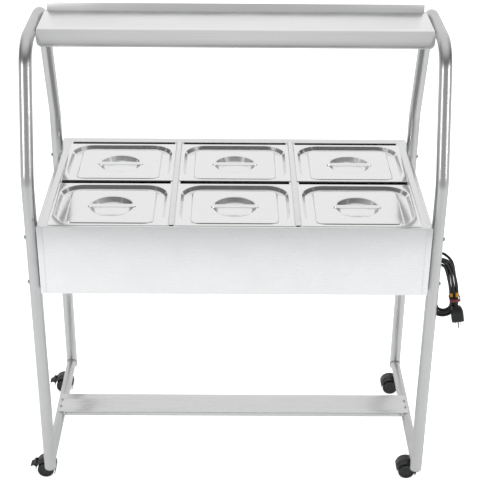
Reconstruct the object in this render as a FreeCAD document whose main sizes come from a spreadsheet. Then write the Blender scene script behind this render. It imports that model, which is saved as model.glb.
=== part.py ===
import FreeCAD, Part
import math
import os
import re

import Sketcher

# Heated buffet counter: a steel casing with a water well for six gastronorm pans,
# carried between two bent tube frames on casters, with a shelf over it.
# The frame has +X to the right, +Y to the back and +Z up. Its origin is on the floor,
# under the middle of the counter's extents. Each piece is drawn from the casing's middle
# in X and its front face in Y, and its Placement brings it to the origin.

os.makedirs("parts", exist_ok=True)
doc = FreeCAD.newDocument("HeatedBuffetCounter")

# Driving sizes in millimetres and degrees
SIZES = [
    # Casing
    ("counter_height", 900),
    ("casing_height", 208),
    ("sheet", 1.5),
    ("seam", 0.3),
    ("corner_return", 16),
    ("panel_return", 7),
    ("bottom_upturn", 10),
    ("panel_corner", 2),
    # Pans and their grid
    ("pan_width", 325),
    ("pan_length", 265),
    ("pan_depth", 100),
    ("pan_sheet", 1),
    ("pan_flange", 8.5),
    ("pan_corner", 46),
    ("pan_taper", 8),
    ("pan_foot_fillet", 12),
    ("pan_flange_corner", 5),
    ("column_gap", 18.5),
    ("row_gap", 21.5),
    # Rim frame
    ("rim_side_width", 25),
    ("rim_front_width", 16.5),
    ("rim_rear_width", 19),
    ("rim_flat_side", 9.5),
    ("rim_flat_front", 7.5),
    ("rim_drop", 5),
    ("rim_side_clearance", 3),
    ("rim_front_clearance", 1),
    ("ledge_reach", 5),
    ("rim_skirt", 14),
    ("rim_edge_fillet", 1.2),
    # Divider bars and troughs
    ("bar_cap_width", 14.5),
    ("trough_depth", 22),
    ("rear_trough_width", 20),
    # Lids
    ("lid_sheet", 1),
    ("lid_flange", 10),
    ("lid_corner", 2),
    ("recess_corner", 62),
    ("recess_slope", 8),
    ("recess_depth", 12),
    ("plateau_side_inset", 44),
    ("plateau_end_inset", 32),
    ("plateau_depth", 7.4),
    ("plateau_slope", 6),
    ("plateau_corner", 16),
    ("dish_radius", 60),
    ("dish_depth", 16),
    ("dish_slope", 12),
    ("handle_length", 134),
    ("handle_width", 22),
    ("handle_sheet", 2),
    ("handle_end_corner", 6),
    # Water tank
    ("tank_sheet", 1.2),
    ("water_depth", 26),
    ("outlet_side_reach", 300),
    ("outlet_rear_inset", 78),
    ("outlet_radius", 10.5),
    ("outlet_wall", 2),
    ("outlet_drop", 100),
    # Heating element
    ("element_radius", 4),
    ("element_clearance", 4),
    ("element_bend", 40),
    ("element_side_inset", 94),
    ("element_front_inset", 130),
    ("element_rear_inset", 168),
    ("element_left_lead_x", 120),
    ("element_right_lead_x", 200),
    ("element_lead_end", 9),
    ("union_radius", 8),
    ("union_length", 5),
    # Side frames
    ("tube_radius", 17.5),
    ("tube_wall", 1.5),
    ("frame_gap", 2),
    ("front_leg_inset", 36),
    ("rear_leg_inset", 16),
    ("leg_end_height", 66),
    ("top_bar_rise", 460),
    ("front_bend_drop", 342),
    ("rear_bend_drop", 370),
    ("front_lean", 20),
    ("rear_lean", 18),
    ("bend_radius", 92),
    ("plug_flange", 2),
    ("plug_crown", 4),
    ("plug_stub", 14),
    ("plug_fit", 0.1),
    ("rail_radius", 15),
    ("rail_height", 80),
    # Bolts between casing and frames
    ("bolt_radius", 3),
    ("bolt_hole_radius", 3.3),
    ("bolt_head_radius", 6.5),
    ("bolt_head_height", 4.5),
    ("bolt_drop", 50),
    ("bolt_pitch", 140),
    ("bolt_nut_height", 5),
    ("bolt_nut_radius", 5.5),
    ("bolt_tail", 2),
    ("spacer_radius", 8),
    # Stretcher
    ("stretcher_depth", 101),
    ("stretcher_front_inset", 272),
    ("stretcher_flange", 13),
    ("stretcher_tab", 6.5),
    ("stretcher_end_gap", 1.5),
    ("stretcher_tab_corner", 8),
    ("stretcher_screw_inset", 33),
    # Screws
    ("screw_radius", 2),
    ("screw_hole_radius", 2.2),
    ("screw_head_radius", 4),
    ("screw_head_height", 2.4),
    ("screw_length", 8),
    # Top shelf
    ("shelf_gap", 0.5),
    ("shelf_flange_gap", 0.3),
    ("shelf_rise", 10),
    ("shelf_front_inset", 213),
    ("shelf_rear_inset", 196),
    ("shelf_roll_radius", 36),
    ("shelf_lip", 3),
    ("shelf_hem", 9),
    ("shelf_lip_corner", 18),
    ("shelf_upstand", 23),
    ("shelf_upstand_hem", 8),
    ("shelf_upstand_inset", 7),
    ("shelf_side_flange", 26),
    ("shelf_side_corner", 5),
    ("shelf_side_setback", 9),
    ("shelf_side_rear_inset", 6),
    ("shelf_screw_front_gap", 57),
    ("shelf_screw_rear_gap", 22),
    # Controls on the rear panel
    ("control_drop", 169),
    ("knob_x", 400),
    ("switch_x", 330),
    ("knob_radius", 21),
    ("knob_height", 18),
    ("knob_skirt_height", 4),
    ("knob_waist_radius", 15),
    ("knob_grip_count", 12),
    ("knob_grip_radius", 2.2),
    ("knob_gap", 1),
    ("shaft_radius", 3),
    ("shaft_running_gap", 0.05),
    ("shaft_reach", 13),
    ("thermostat_width", 44),
    ("thermostat_length", 44),
    ("thermostat_depth", 30),
    ("thermostat_corner", 4),
    ("switch_width", 13),
    ("switch_length", 20),
    ("switch_bezel", 2.5),
    ("switch_bezel_height", 2),
    ("switch_depth", 24),
    ("switch_wall", 1),
    ("switch_fit", 0.2),
    ("rocker_gap", 0.45),
    ("rocker_tilt", 9),
    ("rocker_pivot_depth", 4),
    ("rocker_pin_radius", 1.2),
    ("rocker_pin_reach", 0.9),
    ("rocker_running_gap", 0.08),
    # Drain valve
    ("valve_length", 46),
    ("valve_body_radius", 15),
    ("valve_end_radius", 13),
    ("valve_end_length", 13),
    ("valve_shoulder", 3.3),
    ("valve_bore_radius", 7),
    ("valve_stem_radius", 4),
    ("valve_boss_radius", 8),
    ("valve_boss_reach", 20),
    ("valve_running_gap", 0.05),
    ("valve_overlap", 12),
    ("valve_fit", 0.1),
    ("lever_sheet", 2.5),
    ("lever_gap", 0.4),
    ("lever_length", 82),
    ("lever_hub_radius", 9),
    ("lever_grip_width", 14),
    ("lever_cap_radius", 6.5),
    ("lever_cap_height", 3),
    # Casters
    ("caster_front_inset", 88),
    ("caster_rear_inset", 71),
    ("caster_trail", 21.5),
    ("wheel_radius", 25),
    ("wheel_width", 15),
    ("wheel_inner", 7),
    ("wheel_fillet", 3),
    ("wheel_recess_radius", 17),
    ("wheel_recess_depth", 2.5),
    ("axle_radius", 3),
    ("axle_running_gap", 0.05),
    ("hood_core", 6.5),
    ("hood_radius", 31),
    ("hood_wall", 2.5),
    ("hood_half_width", 23.5),
    ("hood_rise", 2.5),
    ("hood_cut_height", 29),
    ("hood_core_radius", 13),
    ("core_corner_share", 0.9),
    ("boss_radius", 10),
    ("boss_base_height", 49.5),
    ("boss_top_height", 59),
    ("stem_radius", 5),
    ("stem_running_gap", 0.05),
    ("stem_base_height", 42),
    ("collar_radius", 9),
    ("collar_gap", 0.3),
    ("ear_inner", 12.3),
    ("ear_wall", 3),
    ("ear_radius", 5),
    ("ear_corner_share", 0.95),
    ("ear_foot_share", 1.2),
    ("brake_pivot_x", -53.5),
    ("brake_pivot_height", 42),
    ("brake_pin_radius", 2),
    ("brake_running_gap", 0.05),
    ("brake_half_width", 12),
    ("brake_hub_radius", 3.7),
    ("brake_reach", 15),
    ("brake_tip_drop", 7),
    ("brake_sheet", 3.5),
    # Mains cord
    ("cord_diameter", 8),
    ("gland_inset", 116),
    ("gland_drop", 135),
    ("gland_hex", 20),
    ("gland_hex_height", 6),
    ("gland_cap_radius", 9),
    ("gland_cap_height", 7),
    ("gland_nose_radius", 5.4),
    ("gland_nose_length", 22),
    ("gland_nose_fillet", 1),
    ("gland_thread_radius", 8),
    ("gland_nut_height", 5),
    ("gland_thread_tail", 2),
    ("hank_outreach", 56),
    ("hank_drop", 94),
    ("hank_inset", 98),
    ("hank_tilt", 9),
    ("hank_half_width", 41.5),
    ("hank_half_length", 104),
    ("hank_pitch", 8.8),
    ("tie_along", -44),
    ("tie_height", 9),
    ("tie_wall", 1.8),
    ("tie_clearance", 0.4),
    ("tie_slack", 11),
    ("tie_corner", 5),
    ("plug_width", 35),
    ("plug_thickness", 25),
    ("plug_body_length", 36),
    ("plug_neck_radius", 6),
    ("plug_neck_length", 18),
    ("plug_neck_taper", 1),
    ("plug_shoulder_inset", 5),
    ("plug_shoulder_length", 12),
    ("plug_corner", 6),
    ("blade_width", 6.3),
    ("blade_sheet", 1.5),
    ("blade_length", 17),
    ("blade_pitch", 12.7),
    ("ground_radius", 2.4),
    ("ground_length", 20),
    ("ground_offset", 5.3),
    ("blade_offset", 2.7),
    # Overrun of cuts past the faces that they open
    ("overrun", 4),
]
# Sizes that follow from those above
FOLLOWING = [
    ("column_pitch", "pan_width + column_gap"),
    ("row_pitch", "pan_length + row_gap"),
    ("front_row_y", "pan_length / 2 + rim_front_clearance + rim_front_width"),
    ("counter_width", "2 * (column_pitch + pan_width / 2 + rim_side_clearance + rim_side_width)"),
    ("counter_depth", "front_row_y + row_pitch + pan_length / 2 + rear_trough_width + rim_rear_width"),
    ("top_tube_height", "counter_height + top_bar_rise"),
    ("front_bend_height", "top_tube_height - front_bend_drop"),
    ("rear_bend_height", "top_tube_height - rear_bend_drop"),
    ("rear_leg_y", "counter_depth - rear_leg_inset"),
    ("shelf_height", "top_tube_height + shelf_rise"),
    ("shelf_rear_y", "counter_depth - shelf_rear_inset"),
    ("shelf_side_front_y", "shelf_front_inset + shelf_side_setback"),
    ("shelf_screw_front_y", "shelf_front_inset + shelf_screw_front_gap"),
    ("shelf_screw_rear_y", "shelf_rear_y - shelf_screw_rear_gap"),
    ("bolt_top_height", "counter_height - bolt_drop"),
    ("control_height", "counter_height - control_drop"),
    ("outlet_y", "counter_depth - outlet_rear_inset"),
    ("element_half_width", "counter_width / 2 - element_side_inset"),
    ("element_rear_y", "counter_depth - element_rear_inset"),
    ("caster_rear_y", "counter_depth - caster_rear_inset"),
    ("gland_height", "counter_height - gland_drop"),
    ("hank_x", "counter_width / 2 + hank_outreach"),
    ("hank_height", "gland_height - hank_drop"),
]
NAMES = {name for name, value in SIZES + FOLLOWING}
sheet = doc.addObject("Spreadsheet::Sheet", "Sizes")
for row, (name, value) in enumerate(SIZES, start=1):
    sheet.set("A%d" % row, name)
    sheet.set("B%d" % row, str(value))
    sheet.setAlias("B%d" % row, name)
doc.recompute()
for row, (name, rule) in enumerate(FOLLOWING, start=len(SIZES) + 1):
    sheet.set("A%d" % row, name)
    sheet.set("B%d" % row, "=" + rule)
    sheet.setAlias("B%d" % row, name)
doc.recompute()

# Places that several pieces share, in the sheet's words
HALF_WIDTH = "counter_width / 2"
FRAME_X = "(counter_width / 2 + frame_gap + tube_radius)"
RIM_TOP = "counter_height"
LEDGE_TOP = "(counter_height - rim_drop)"
CASING_BASE = "(counter_height - casing_height)"
WELL_X = "(column_pitch + pan_width / 2 + rim_side_clearance)"
WELL_FRONT = "(front_row_y - pan_length / 2 - rim_front_clearance)"
WELL_REAR = "(front_row_y + row_pitch + pan_length / 2 + rear_trough_width)"
LEDGE_X = "(column_pitch + pan_width / 2 - ledge_reach)"
LEDGE_FRONT = "(front_row_y - pan_length / 2 + ledge_reach)"
LEDGE_REAR = WELL_REAR
TANK_FLOOR = "(counter_height - rim_drop - pan_depth - water_depth)"
LEVER_REACH = "(counter_width / 2 + frame_gap + tube_radius - brake_pivot_x + brake_reach)"
BOLT_REACH = "(counter_width / 2 + frame_gap + 2 * tube_radius + bolt_head_height)"
KNOB_REACH = "(counter_depth + knob_gap + knob_height)"
SHIFT_X = "(%s - %s) / 2" % (LEVER_REACH, BOLT_REACH)
SHIFT_Y = "-%s / 2" % KNOB_REACH


def bound(text):
    """The text with every size's name pointing at its cell."""
    def pointed(word):
        return "Sizes." + word.group() if word.group() in NAMES else word.group()

    return re.sub(r"[a-z_]+", pointed, text)


def number(text):
    """The value that an expression has now."""
    return float(sheet.evalExpression(bound(text)))


def place(piece, x="0", y="0", z="0"):
    """Bind a piece's Placement: its own place plus the way from the casing to the origin."""
    piece.setExpression("Placement.Base.x", bound("%s + %s" % (SHIFT_X, x)))
    piece.setExpression("Placement.Base.y", bound("%s + %s" % (SHIFT_Y, y)))
    piece.setExpression("Placement.Base.z", bound(z))


def new_body(label, x="0", y="0", z="0"):
    body = doc.addObject("PartDesign::Body", label)
    body.Label = label
    place(body, x, y, z)
    return body


def sketch_on(body, name, plane, offset="0"):
    """A sketch on one of the body's own planes, moved along +Z, +Y or +X by the offset."""
    role = plane + "_Plane"
    support = [item for item in body.Origin.OriginFeatures if item.Role == role][0]
    sketch = body.newObject("Sketcher::SketchObject", name)
    sketch.AttachmentSupport = [(support, "")]
    sketch.MapMode = "FlatFace"
    along = "-(%s)" % offset if plane == "XZ" else offset
    if offset != "0":
        sketch.setExpression("AttachmentOffset.Base.z", bound(along))
    return sketch


def bind_all(sketch, rules):
    """Add the constraints together, then bind those that carry an expression."""
    numbers = sketch.addConstraint([constraint for constraint, text in rules])
    for index, (constraint, text) in zip(numbers, rules):
        if text is not None:
            sketch.setExpression("Constraints[%d]" % index, bound(text))


def fixed(geometry, point, x, y):
    """Rules that hold one point of a sketch at two expressions."""
    across = Sketcher.Constraint("DistanceX", -1, 1, geometry, point, number(x))
    up = Sketcher.Constraint("DistanceY", -1, 1, geometry, point, number(y))
    return [(across, x), (up, y)]


def circle(x, y, radius):
    def draw(sketch):
        centre = FreeCAD.Vector(number(x), number(y), 0)
        index = sketch.addGeometry(Part.Circle(centre, FreeCAD.Vector(0, 0, 1), number(radius)))
        size = Sketcher.Constraint("Radius", index, number(radius))
        bind_all(sketch, fixed(index, 3, x, y) + [(size, radius)])
    return draw


def outline(*points, closed=True):
    """A run of lines through corners (x, y) or rounded corners (x, y, radius)."""
    def draw(sketch):
        corners = [FreeCAD.Vector(number(point[0]), number(point[1]), 0) for point in points]
        count = len(corners)
        starts = list(corners)
        ends = list(corners)
        arcs = {}
        for index, point in enumerate(points):
            if len(point) < 3:
                continue
            here = corners[index]
            back = (corners[index - 1] - here).normalize()
            ahead = (corners[(index + 1) % count] - here).normalize()
            half = back.getAngle(ahead) / 2
            reach = number(point[2]) / math.tan(half)
            centre = here + (back + ahead).normalize() * (number(point[2]) / math.sin(half))
            ends[index] = here + back * reach
            starts[index] = here + ahead * reach
            arcs[index] = (centre, (here - centre).normalize() * number(point[2]) + centre)
        line_count = count if closed else count - 1
        lines = []
        for index in range(line_count):
            segment = Part.LineSegment(starts[index], ends[(index + 1) % count])
            lines.append(sketch.addGeometry(segment))
        rules = []
        for index in range(count):
            before = lines[index - 1] if closed or index > 0 else None
            after = lines[index] if index < line_count else None
            if index in arcs:
                centre, middle = arcs[index]
                arc = sketch.addGeometry(Part.Arc(ends[index], middle, starts[index]))
                turn = (middle - ends[index]).cross(starts[index] - middle).z
                first, last = (1, 2) if turn > 0 else (2, 1)
                corner = sketch.addGeometry(Part.Point(corners[index]), True)
                rules += fixed(corner, 1, points[index][0], points[index][1])
                rules.append((Sketcher.Constraint("PointOnObject", corner, 1, before), None))
                rules.append((Sketcher.Constraint("PointOnObject", corner, 1, after), None))
                rules.append((Sketcher.Constraint("Tangent", before, 2, arc, first), None))
                rules.append((Sketcher.Constraint("Tangent", arc, last, after, 1), None))
                size = Sketcher.Constraint("Radius", arc, number(points[index][2]))
                rules.append((size, points[index][2]))
            elif before is not None and after is not None:
                rules.append((Sketcher.Constraint("Coincident", before, 2, after, 1), None))
                rules += fixed(after, 1, points[index][0], points[index][1])
            elif after is not None:
                rules += fixed(after, 1, points[index][0], points[index][1])
            else:
                rules += fixed(before, 2, points[index][0], points[index][1])
        bind_all(sketch, rules)
    return draw


def rectangle(x1, x2, y1, y2, corner=None):
    points = [(x1, y1), (x2, y1), (x2, y2), (x1, y2)]
    if corner is not None:
        points = [(x, y, corner) for x, y in points]
    return outline(*points)


def extrude(body, name, plane, start, end, *shapes):
    """Pad the outlines from one coordinate to another along +X, +Y or +Z."""
    sketch = sketch_on(body, name + "Sketch", plane, start)
    for shape in shapes:
        shape(sketch)
    pad = body.newObject("PartDesign::Pad", name)
    pad.Profile = sketch
    pad.Reversed = plane == "XZ"
    pad.setExpression("Length", bound("(%s) - (%s)" % (end, start)))
    sketch.Visibility = False
    return pad


def cut(body, name, plane, start, end, *shapes):
    """Pocket the outlines out between two coordinates along +X, +Y or +Z."""
    near = start if plane == "XZ" else end
    sketch = sketch_on(body, name + "Sketch", plane, near)
    for shape in shapes:
        shape(sketch)
    pocket = body.newObject("PartDesign::Pocket", name)
    pocket.Profile = sketch
    pocket.setExpression("Length", bound("(%s) - (%s)" % (end, start)))
    sketch.Visibility = False
    return pocket


def loft(body, name, kind, low, low_shape, high, high_shape):
    """A loft between two level outlines, added or taken away."""
    first = sketch_on(body, name + "Low", "XY", low)
    low_shape(first)
    second = sketch_on(body, name + "High", "XY", high)
    high_shape(second)
    feature = body.newObject("PartDesign::%sLoft" % kind, name)
    feature.Profile = first
    feature.Sections = [(second, [""])]
    feature.Ruled = True
    return feature


def turn(body, name, kind, plane, axis_role, offset, *shapes):
    """A revolved feature, kind Revolution or Groove, about one of the body's own axes."""
    sketch = sketch_on(body, name + "Sketch", plane, offset)
    for shape in shapes:
        shape(sketch)
    feature = body.newObject("PartDesign::" + kind, name)
    feature.Profile = sketch
    axis = [item for item in body.Origin.OriginFeatures if item.Role == axis_role + "_Axis"][0]
    feature.ReferenceAxis = (axis, [""])
    return feature


def repeat(body, name, originals, axis_role, length, count=2, other_role=None, other_length=None):
    """Copies of features along one axis, or along two."""
    axes = {item.Role: item for item in body.Origin.OriginFeatures}
    pattern = body.newObject("PartDesign::LinearPattern", name)
    pattern.Originals = originals
    pattern.Direction = (axes[axis_role + "_Axis"], [""])
    pattern.setExpression("Length", bound(length))
    pattern.Occurrences = count
    if other_role:
        pattern.Direction2 = (axes[other_role + "_Axis"], [""])
        pattern.setExpression("Length2", bound(other_length))
        pattern.Occurrences2 = 2
    body.Tip = pattern
    return pattern


def round_edges(body, name, radius, chosen):
    """Fillet the edges of the body that the test picks by their middle point and direction."""
    doc.recompute()
    base = body.Tip
    names = []
    for index, edge in enumerate(base.Shape.Edges, start=1):
        if chosen(edge):
            names.append("Edge%d" % index)
    fillet = body.newObject("PartDesign::Fillet", name)
    fillet.Base = (base, names)
    fillet.setExpression("Radius", bound(radius))
    return fillet


def middle_of(edge):
    return edge.valueAt((edge.FirstParameter + edge.LastParameter) / 2)


# Side frames: one bent tube each, with a coped rail between the legs
def frame_tube(label, side):
    tube = new_body(label, side + FRAME_X)
    rise = "(top_tube_height - front_bend_height)"
    fall = "(top_tube_height - rear_bend_height)"
    path = sketch_on(tube, "Path", "YZ")
    outline(
        ("front_leg_inset", "leg_end_height"),
        ("front_leg_inset", "front_bend_height", "bend_radius"),
        ("front_leg_inset + %s * tan(front_lean)" % rise, "top_tube_height", "bend_radius"),
        ("rear_leg_y - %s * tan(rear_lean)" % fall, "top_tube_height", "bend_radius"),
        ("rear_leg_y", "rear_bend_height", "bend_radius"),
        ("rear_leg_y", "leg_end_height"),
        closed=False,
    )(path)
    section = sketch_on(tube, "Section", "XY", "leg_end_height")
    circle("0", "front_leg_inset", "tube_radius")(section)
    circle("0", "front_leg_inset", "tube_radius - tube_wall")(section)
    pipe = tube.newObject("PartDesign::AdditivePipe", "BentTube")
    pipe.Profile = section
    pipe.Spine = (path, [""])
    low_bolt = "bolt_top_height - bolt_pitch"
    holes = []
    for leg in ("front_leg_inset", "rear_leg_y"):
        for height in ("bolt_top_height", low_bolt):
            holes.append(circle(leg, height, "bolt_hole_radius"))
    cut(tube, "BoltHoles", "YZ", "-tube_radius - overrun", "tube_radius + overrun", *holes)
    screws = [circle("shelf_screw_front_y", "top_tube_height", "screw_hole_radius")]
    screws.append(circle("shelf_screw_rear_y", "top_tube_height", "screw_hole_radius"))
    inner_side = ("-tube_radius - overrun", "0") if side == "" else ("0", "tube_radius + overrun")
    cut(tube, "ShelfScrewHoles", "YZ", inner_side[0], inner_side[1], *screws)
    return tube


def lower_rail(label, side):
    rail = new_body(label, side + FRAME_X)
    outer = circle("0", "rail_height", "rail_radius")
    inner = circle("0", "rail_height", "rail_radius - tube_wall")
    extrude(rail, "Rail", "XZ", "front_leg_inset", "rear_leg_y", outer, inner)
    low = "rail_height - rail_radius - overrun"
    high = "rail_height + rail_radius + overrun"
    copes = [circle("0", "front_leg_inset", "tube_radius"), circle("0", "rear_leg_y", "tube_radius")]
    cut(rail, "Copes", "XY", low, high, *copes)
    middle = "stretcher_front_inset + stretcher_depth / 2"
    spread = "(stretcher_depth / 2 - stretcher_screw_inset)"
    holes = [circle("0", "%s - %s" % (middle, spread), "screw_hole_radius")]
    holes.append(circle("0", "%s + %s" % (middle, spread), "screw_hole_radius"))
    cut(rail, "ScrewHoles", "XY", "rail_height", high, *holes)
    front_stem = circle("0", "caster_front_inset", "stem_radius")
    rear_stem = circle("0", "caster_rear_y", "stem_radius")
    cut(rail, "StemHoles", "XY", low, "rail_height", front_stem, rear_stem)
    return rail


def leg_end_plugs():
    plugs = new_body("leg_end_plugs", "-" + FRAME_X, "front_leg_inset")
    inside = "(tube_radius - tube_wall - plug_fit)"
    middle = "leg_end_height"
    crown = outline(
        ("0", middle + " - plug_flange - plug_crown"),
        ("tube_radius / 2", middle + " - plug_flange - plug_crown"),
        ("tube_radius", middle + " - plug_flange - plug_crown", "plug_crown + plug_flange / 2"),
        ("tube_radius", middle),
        (inside, middle),
        (inside, middle + " + plug_stub"),
        ("0", middle + " + plug_stub"),
    )
    cap = turn(plugs, "Plug", "Revolution", "XZ", "Z", "0", crown)
    far = "2 * " + FRAME_X
    repeat(plugs, "FourLegs", [cap], "X", far, 2, "Y", "rear_leg_y - front_leg_inset")
    return plugs


def frame_bolts():
    """Eight dome bolts with their nuts, and the spacing washers between tube and casing."""
    bolts = new_body("frame_bolts", "0", "front_leg_inset", "bolt_top_height - bolt_pitch")
    shapes = []
    for side in ("", "-"):
        outside = "%s(%s + tube_radius" % (side, FRAME_X)
        head = outside + " + bolt_head_height)"
        seat = outside + ")"
        nut = "%s(%s - sheet)" % (side, HALF_WIDTH)
        nut_end = "%s(%s - sheet - bolt_nut_height)" % (side, HALF_WIDTH)
        tail = "%s(%s - sheet - bolt_nut_height - bolt_tail)" % (side, HALF_WIDTH)
        shapes.append(outline(
            (head, "0"),
            (head, "bolt_head_radius", "bolt_head_height - screw_radius / 2"),
            (seat, "bolt_head_radius"),
            (seat, "bolt_radius"),
            (nut, "bolt_radius"),
            (nut, "bolt_nut_radius"),
            (nut_end, "bolt_nut_radius"),
            (nut_end, "bolt_radius"),
            (tail, "bolt_radius"),
            (tail, "0"),
        ))
        inner = "%s(%s)" % (side, HALF_WIDTH)
        outer = "%s(%s + frame_gap)" % (side, HALF_WIDTH)
        shapes.append(rectangle(inner, outer, "bolt_hole_radius", "spacer_radius"))
    bolt = turn(bolts, "Bolts", "Revolution", "XZ", "X", "0", *shapes)
    repeat(bolts, "FourPlaces", [bolt], "Z", "bolt_pitch", 2, "Y", "rear_leg_y - front_leg_inset")
    return bolts


# Stretcher: an inverted channel whose top plate lies on both rails
STRETCHER_BASE = "(rail_height + rail_radius)"
STRETCHER_SCREW_YS = (
    "(stretcher_front_inset + stretcher_screw_inset)",
    "(stretcher_front_inset + stretcher_depth - stretcher_screw_inset)",
)


def bottom_stretcher():
    stretcher = new_body("bottom_stretcher")
    front = "stretcher_front_inset"
    rear = "(stretcher_front_inset + stretcher_depth)"
    top = "(%s + sheet)" % STRETCHER_BASE
    foot = "(%s - stretcher_flange)" % top
    end = "(%s - rail_radius - stretcher_end_gap)" % FRAME_X
    channel = outline(
        (front, foot),
        (front, top, "panel_corner"),
        (rear, top, "panel_corner"),
        (rear, foot),
        (rear + " - sheet", foot),
        (rear + " - sheet", STRETCHER_BASE),
        (front + " + sheet", STRETCHER_BASE),
        (front + " + sheet", foot),
    )
    extrude(stretcher, "Channel", "YZ", "-" + end, end, channel)
    tab = "(%s + stretcher_tab)" % FRAME_X
    plate = rectangle(
        "-" + tab, tab, front + " + panel_corner", rear + " - panel_corner", "stretcher_tab_corner"
    )
    extrude(stretcher, "TopPlate", "XY", STRETCHER_BASE, top, plate)
    holes = []
    for side in ("", "-"):
        for y in STRETCHER_SCREW_YS:
            holes.append(circle(side + FRAME_X, y, "screw_hole_radius"))
    cut(stretcher, "ScrewHoles", "XY", STRETCHER_BASE + " - overrun", top + " + overrun", *holes)
    return stretcher


# Top shelf: one folded sheet with a rolled front, an upstand and two screwed side flanges
SHELF_X = "(%s - tube_radius - shelf_gap)" % FRAME_X
SHELF_FLANGE_X = "(%s - tube_radius - shelf_flange_gap)" % FRAME_X


def top_shelf():
    shelf = new_body("top_shelf")
    under = "(shelf_height - sheet)"
    foot = "(shelf_height - shelf_roll_radius - shelf_lip)"
    front = "shelf_front_inset"
    rear = "shelf_rear_y"
    crest = "(shelf_height + shelf_upstand)"
    fold = outline(
        (front, foot),
        (front, "shelf_height", "shelf_roll_radius"),
        (rear + " - sheet", "shelf_height"),
        (rear + " - sheet", crest),
        (rear + " + sheet", crest),
        (rear + " + sheet", crest + " - shelf_upstand_hem"),
        (rear, crest + " - shelf_upstand_hem"),
        (rear, under, "panel_corner"),
        (front + " + sheet", under, "shelf_roll_radius - sheet"),
        (front + " + sheet", foot),
    )
    extrude(shelf, "Fold", "YZ", "-" + SHELF_X, SHELF_X, fold)
    hem_end = "(%s - shelf_lip_corner - sheet)" % SHELF_X
    hem = rectangle(front, front + " + shelf_hem", foot, foot + " + sheet")
    extrude(shelf, "Hem", "YZ", "-" + hem_end, hem_end, hem)
    upstand_end = "(%s - shelf_upstand_inset)" % SHELF_X
    notches = []
    for side in ("", "-"):
        far = "%s(%s + overrun)" % (side, SHELF_X)
        notches.append(rectangle(side + upstand_end, far, "shelf_height", crest + " + overrun"))
    cut(shelf, "UpstandEnds", "XZ", rear + " - sheet - overrun", rear + " + sheet + overrun", *notches)
    flange = outline(
        ("shelf_side_front_y", "shelf_height - shelf_side_flange", "shelf_side_corner"),
        (rear + " - shelf_side_rear_inset", "shelf_height - shelf_side_flange", "shelf_side_corner"),
        (rear + " - shelf_side_rear_inset", under),
        ("shelf_side_front_y", under, "shelf_lip_corner"),
    )
    inner = "(%s - sheet)" % SHELF_FLANGE_X
    extrude(shelf, "RightFlange", "YZ", inner, SHELF_FLANGE_X, flange)
    extrude(shelf, "LeftFlange", "YZ", "-" + SHELF_FLANGE_X, "-" + inner, flange)
    holes = [circle("shelf_screw_front_y", "top_tube_height", "screw_hole_radius")]
    holes.append(circle("shelf_screw_rear_y", "top_tube_height", "screw_hole_radius"))
    cut(shelf, "ScrewHoles", "YZ", "-%s - overrun" % SHELF_FLANGE_X, SHELF_FLANGE_X + " + overrun", *holes)
    corners = []
    for side in ("", "-"):
        end = "%s(%s)" % (side, SHELF_X)
        past = "%s(%s + overrun)" % (side, SHELF_X)
        inside = "%s(%s - shelf_lip_corner - overrun)" % (side, SHELF_X)
        corners.append(outline(
            (inside, foot + " - overrun"),
            (inside, foot),
            (end, foot, "shelf_lip_corner"),
            (end, foot + " + shelf_lip_corner + overrun"),
            (past, foot + " + shelf_lip_corner + overrun"),
            (past, foot + " - overrun"),
        ))
    cut(shelf, "LipCorners", "XZ", front + " - overrun", front + " + sheet + overrun", *corners)
    return shelf


def frame_screws():
    """Four screws down into the rails and four through the shelf's flanges into the tubes."""
    screws = new_body("frame_screws")
    seat = "(%s + sheet)" % STRETCHER_BASE
    for index, y in enumerate(STRETCHER_SCREW_YS, start=1):
        heads = [circle(side + FRAME_X, y, "screw_head_radius") for side in ("", "-")]
        shanks = [circle(side + FRAME_X, y, "screw_radius") for side in ("", "-")]
        extrude(screws, "RailHead%d" % index, "XY", seat, seat + " + screw_head_height", *heads)
        extrude(screws, "RailShank%d" % index, "XY", seat + " - screw_length", seat, *shanks)
    inner = "(%s - sheet)" % SHELF_FLANGE_X
    head_end = "(%s - screw_head_height)" % inner
    shank_end = "(%s + screw_length)" % inner
    ys = ("shelf_screw_front_y", "shelf_screw_rear_y")
    heads = [circle(y, "top_tube_height", "screw_head_radius") for y in ys]
    shanks = [circle(y, "top_tube_height", "screw_radius") for y in ys]
    extrude(screws, "RightHeads", "YZ", head_end, inner, *heads)
    extrude(screws, "RightShanks", "YZ", inner, shank_end, *shanks)
    extrude(screws, "LeftHeads", "YZ", "-" + inner, "-" + head_end, *heads)
    extrude(screws, "LeftShanks", "YZ", "-" + shank_end, "-" + inner, *shanks)
    return screws


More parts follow.
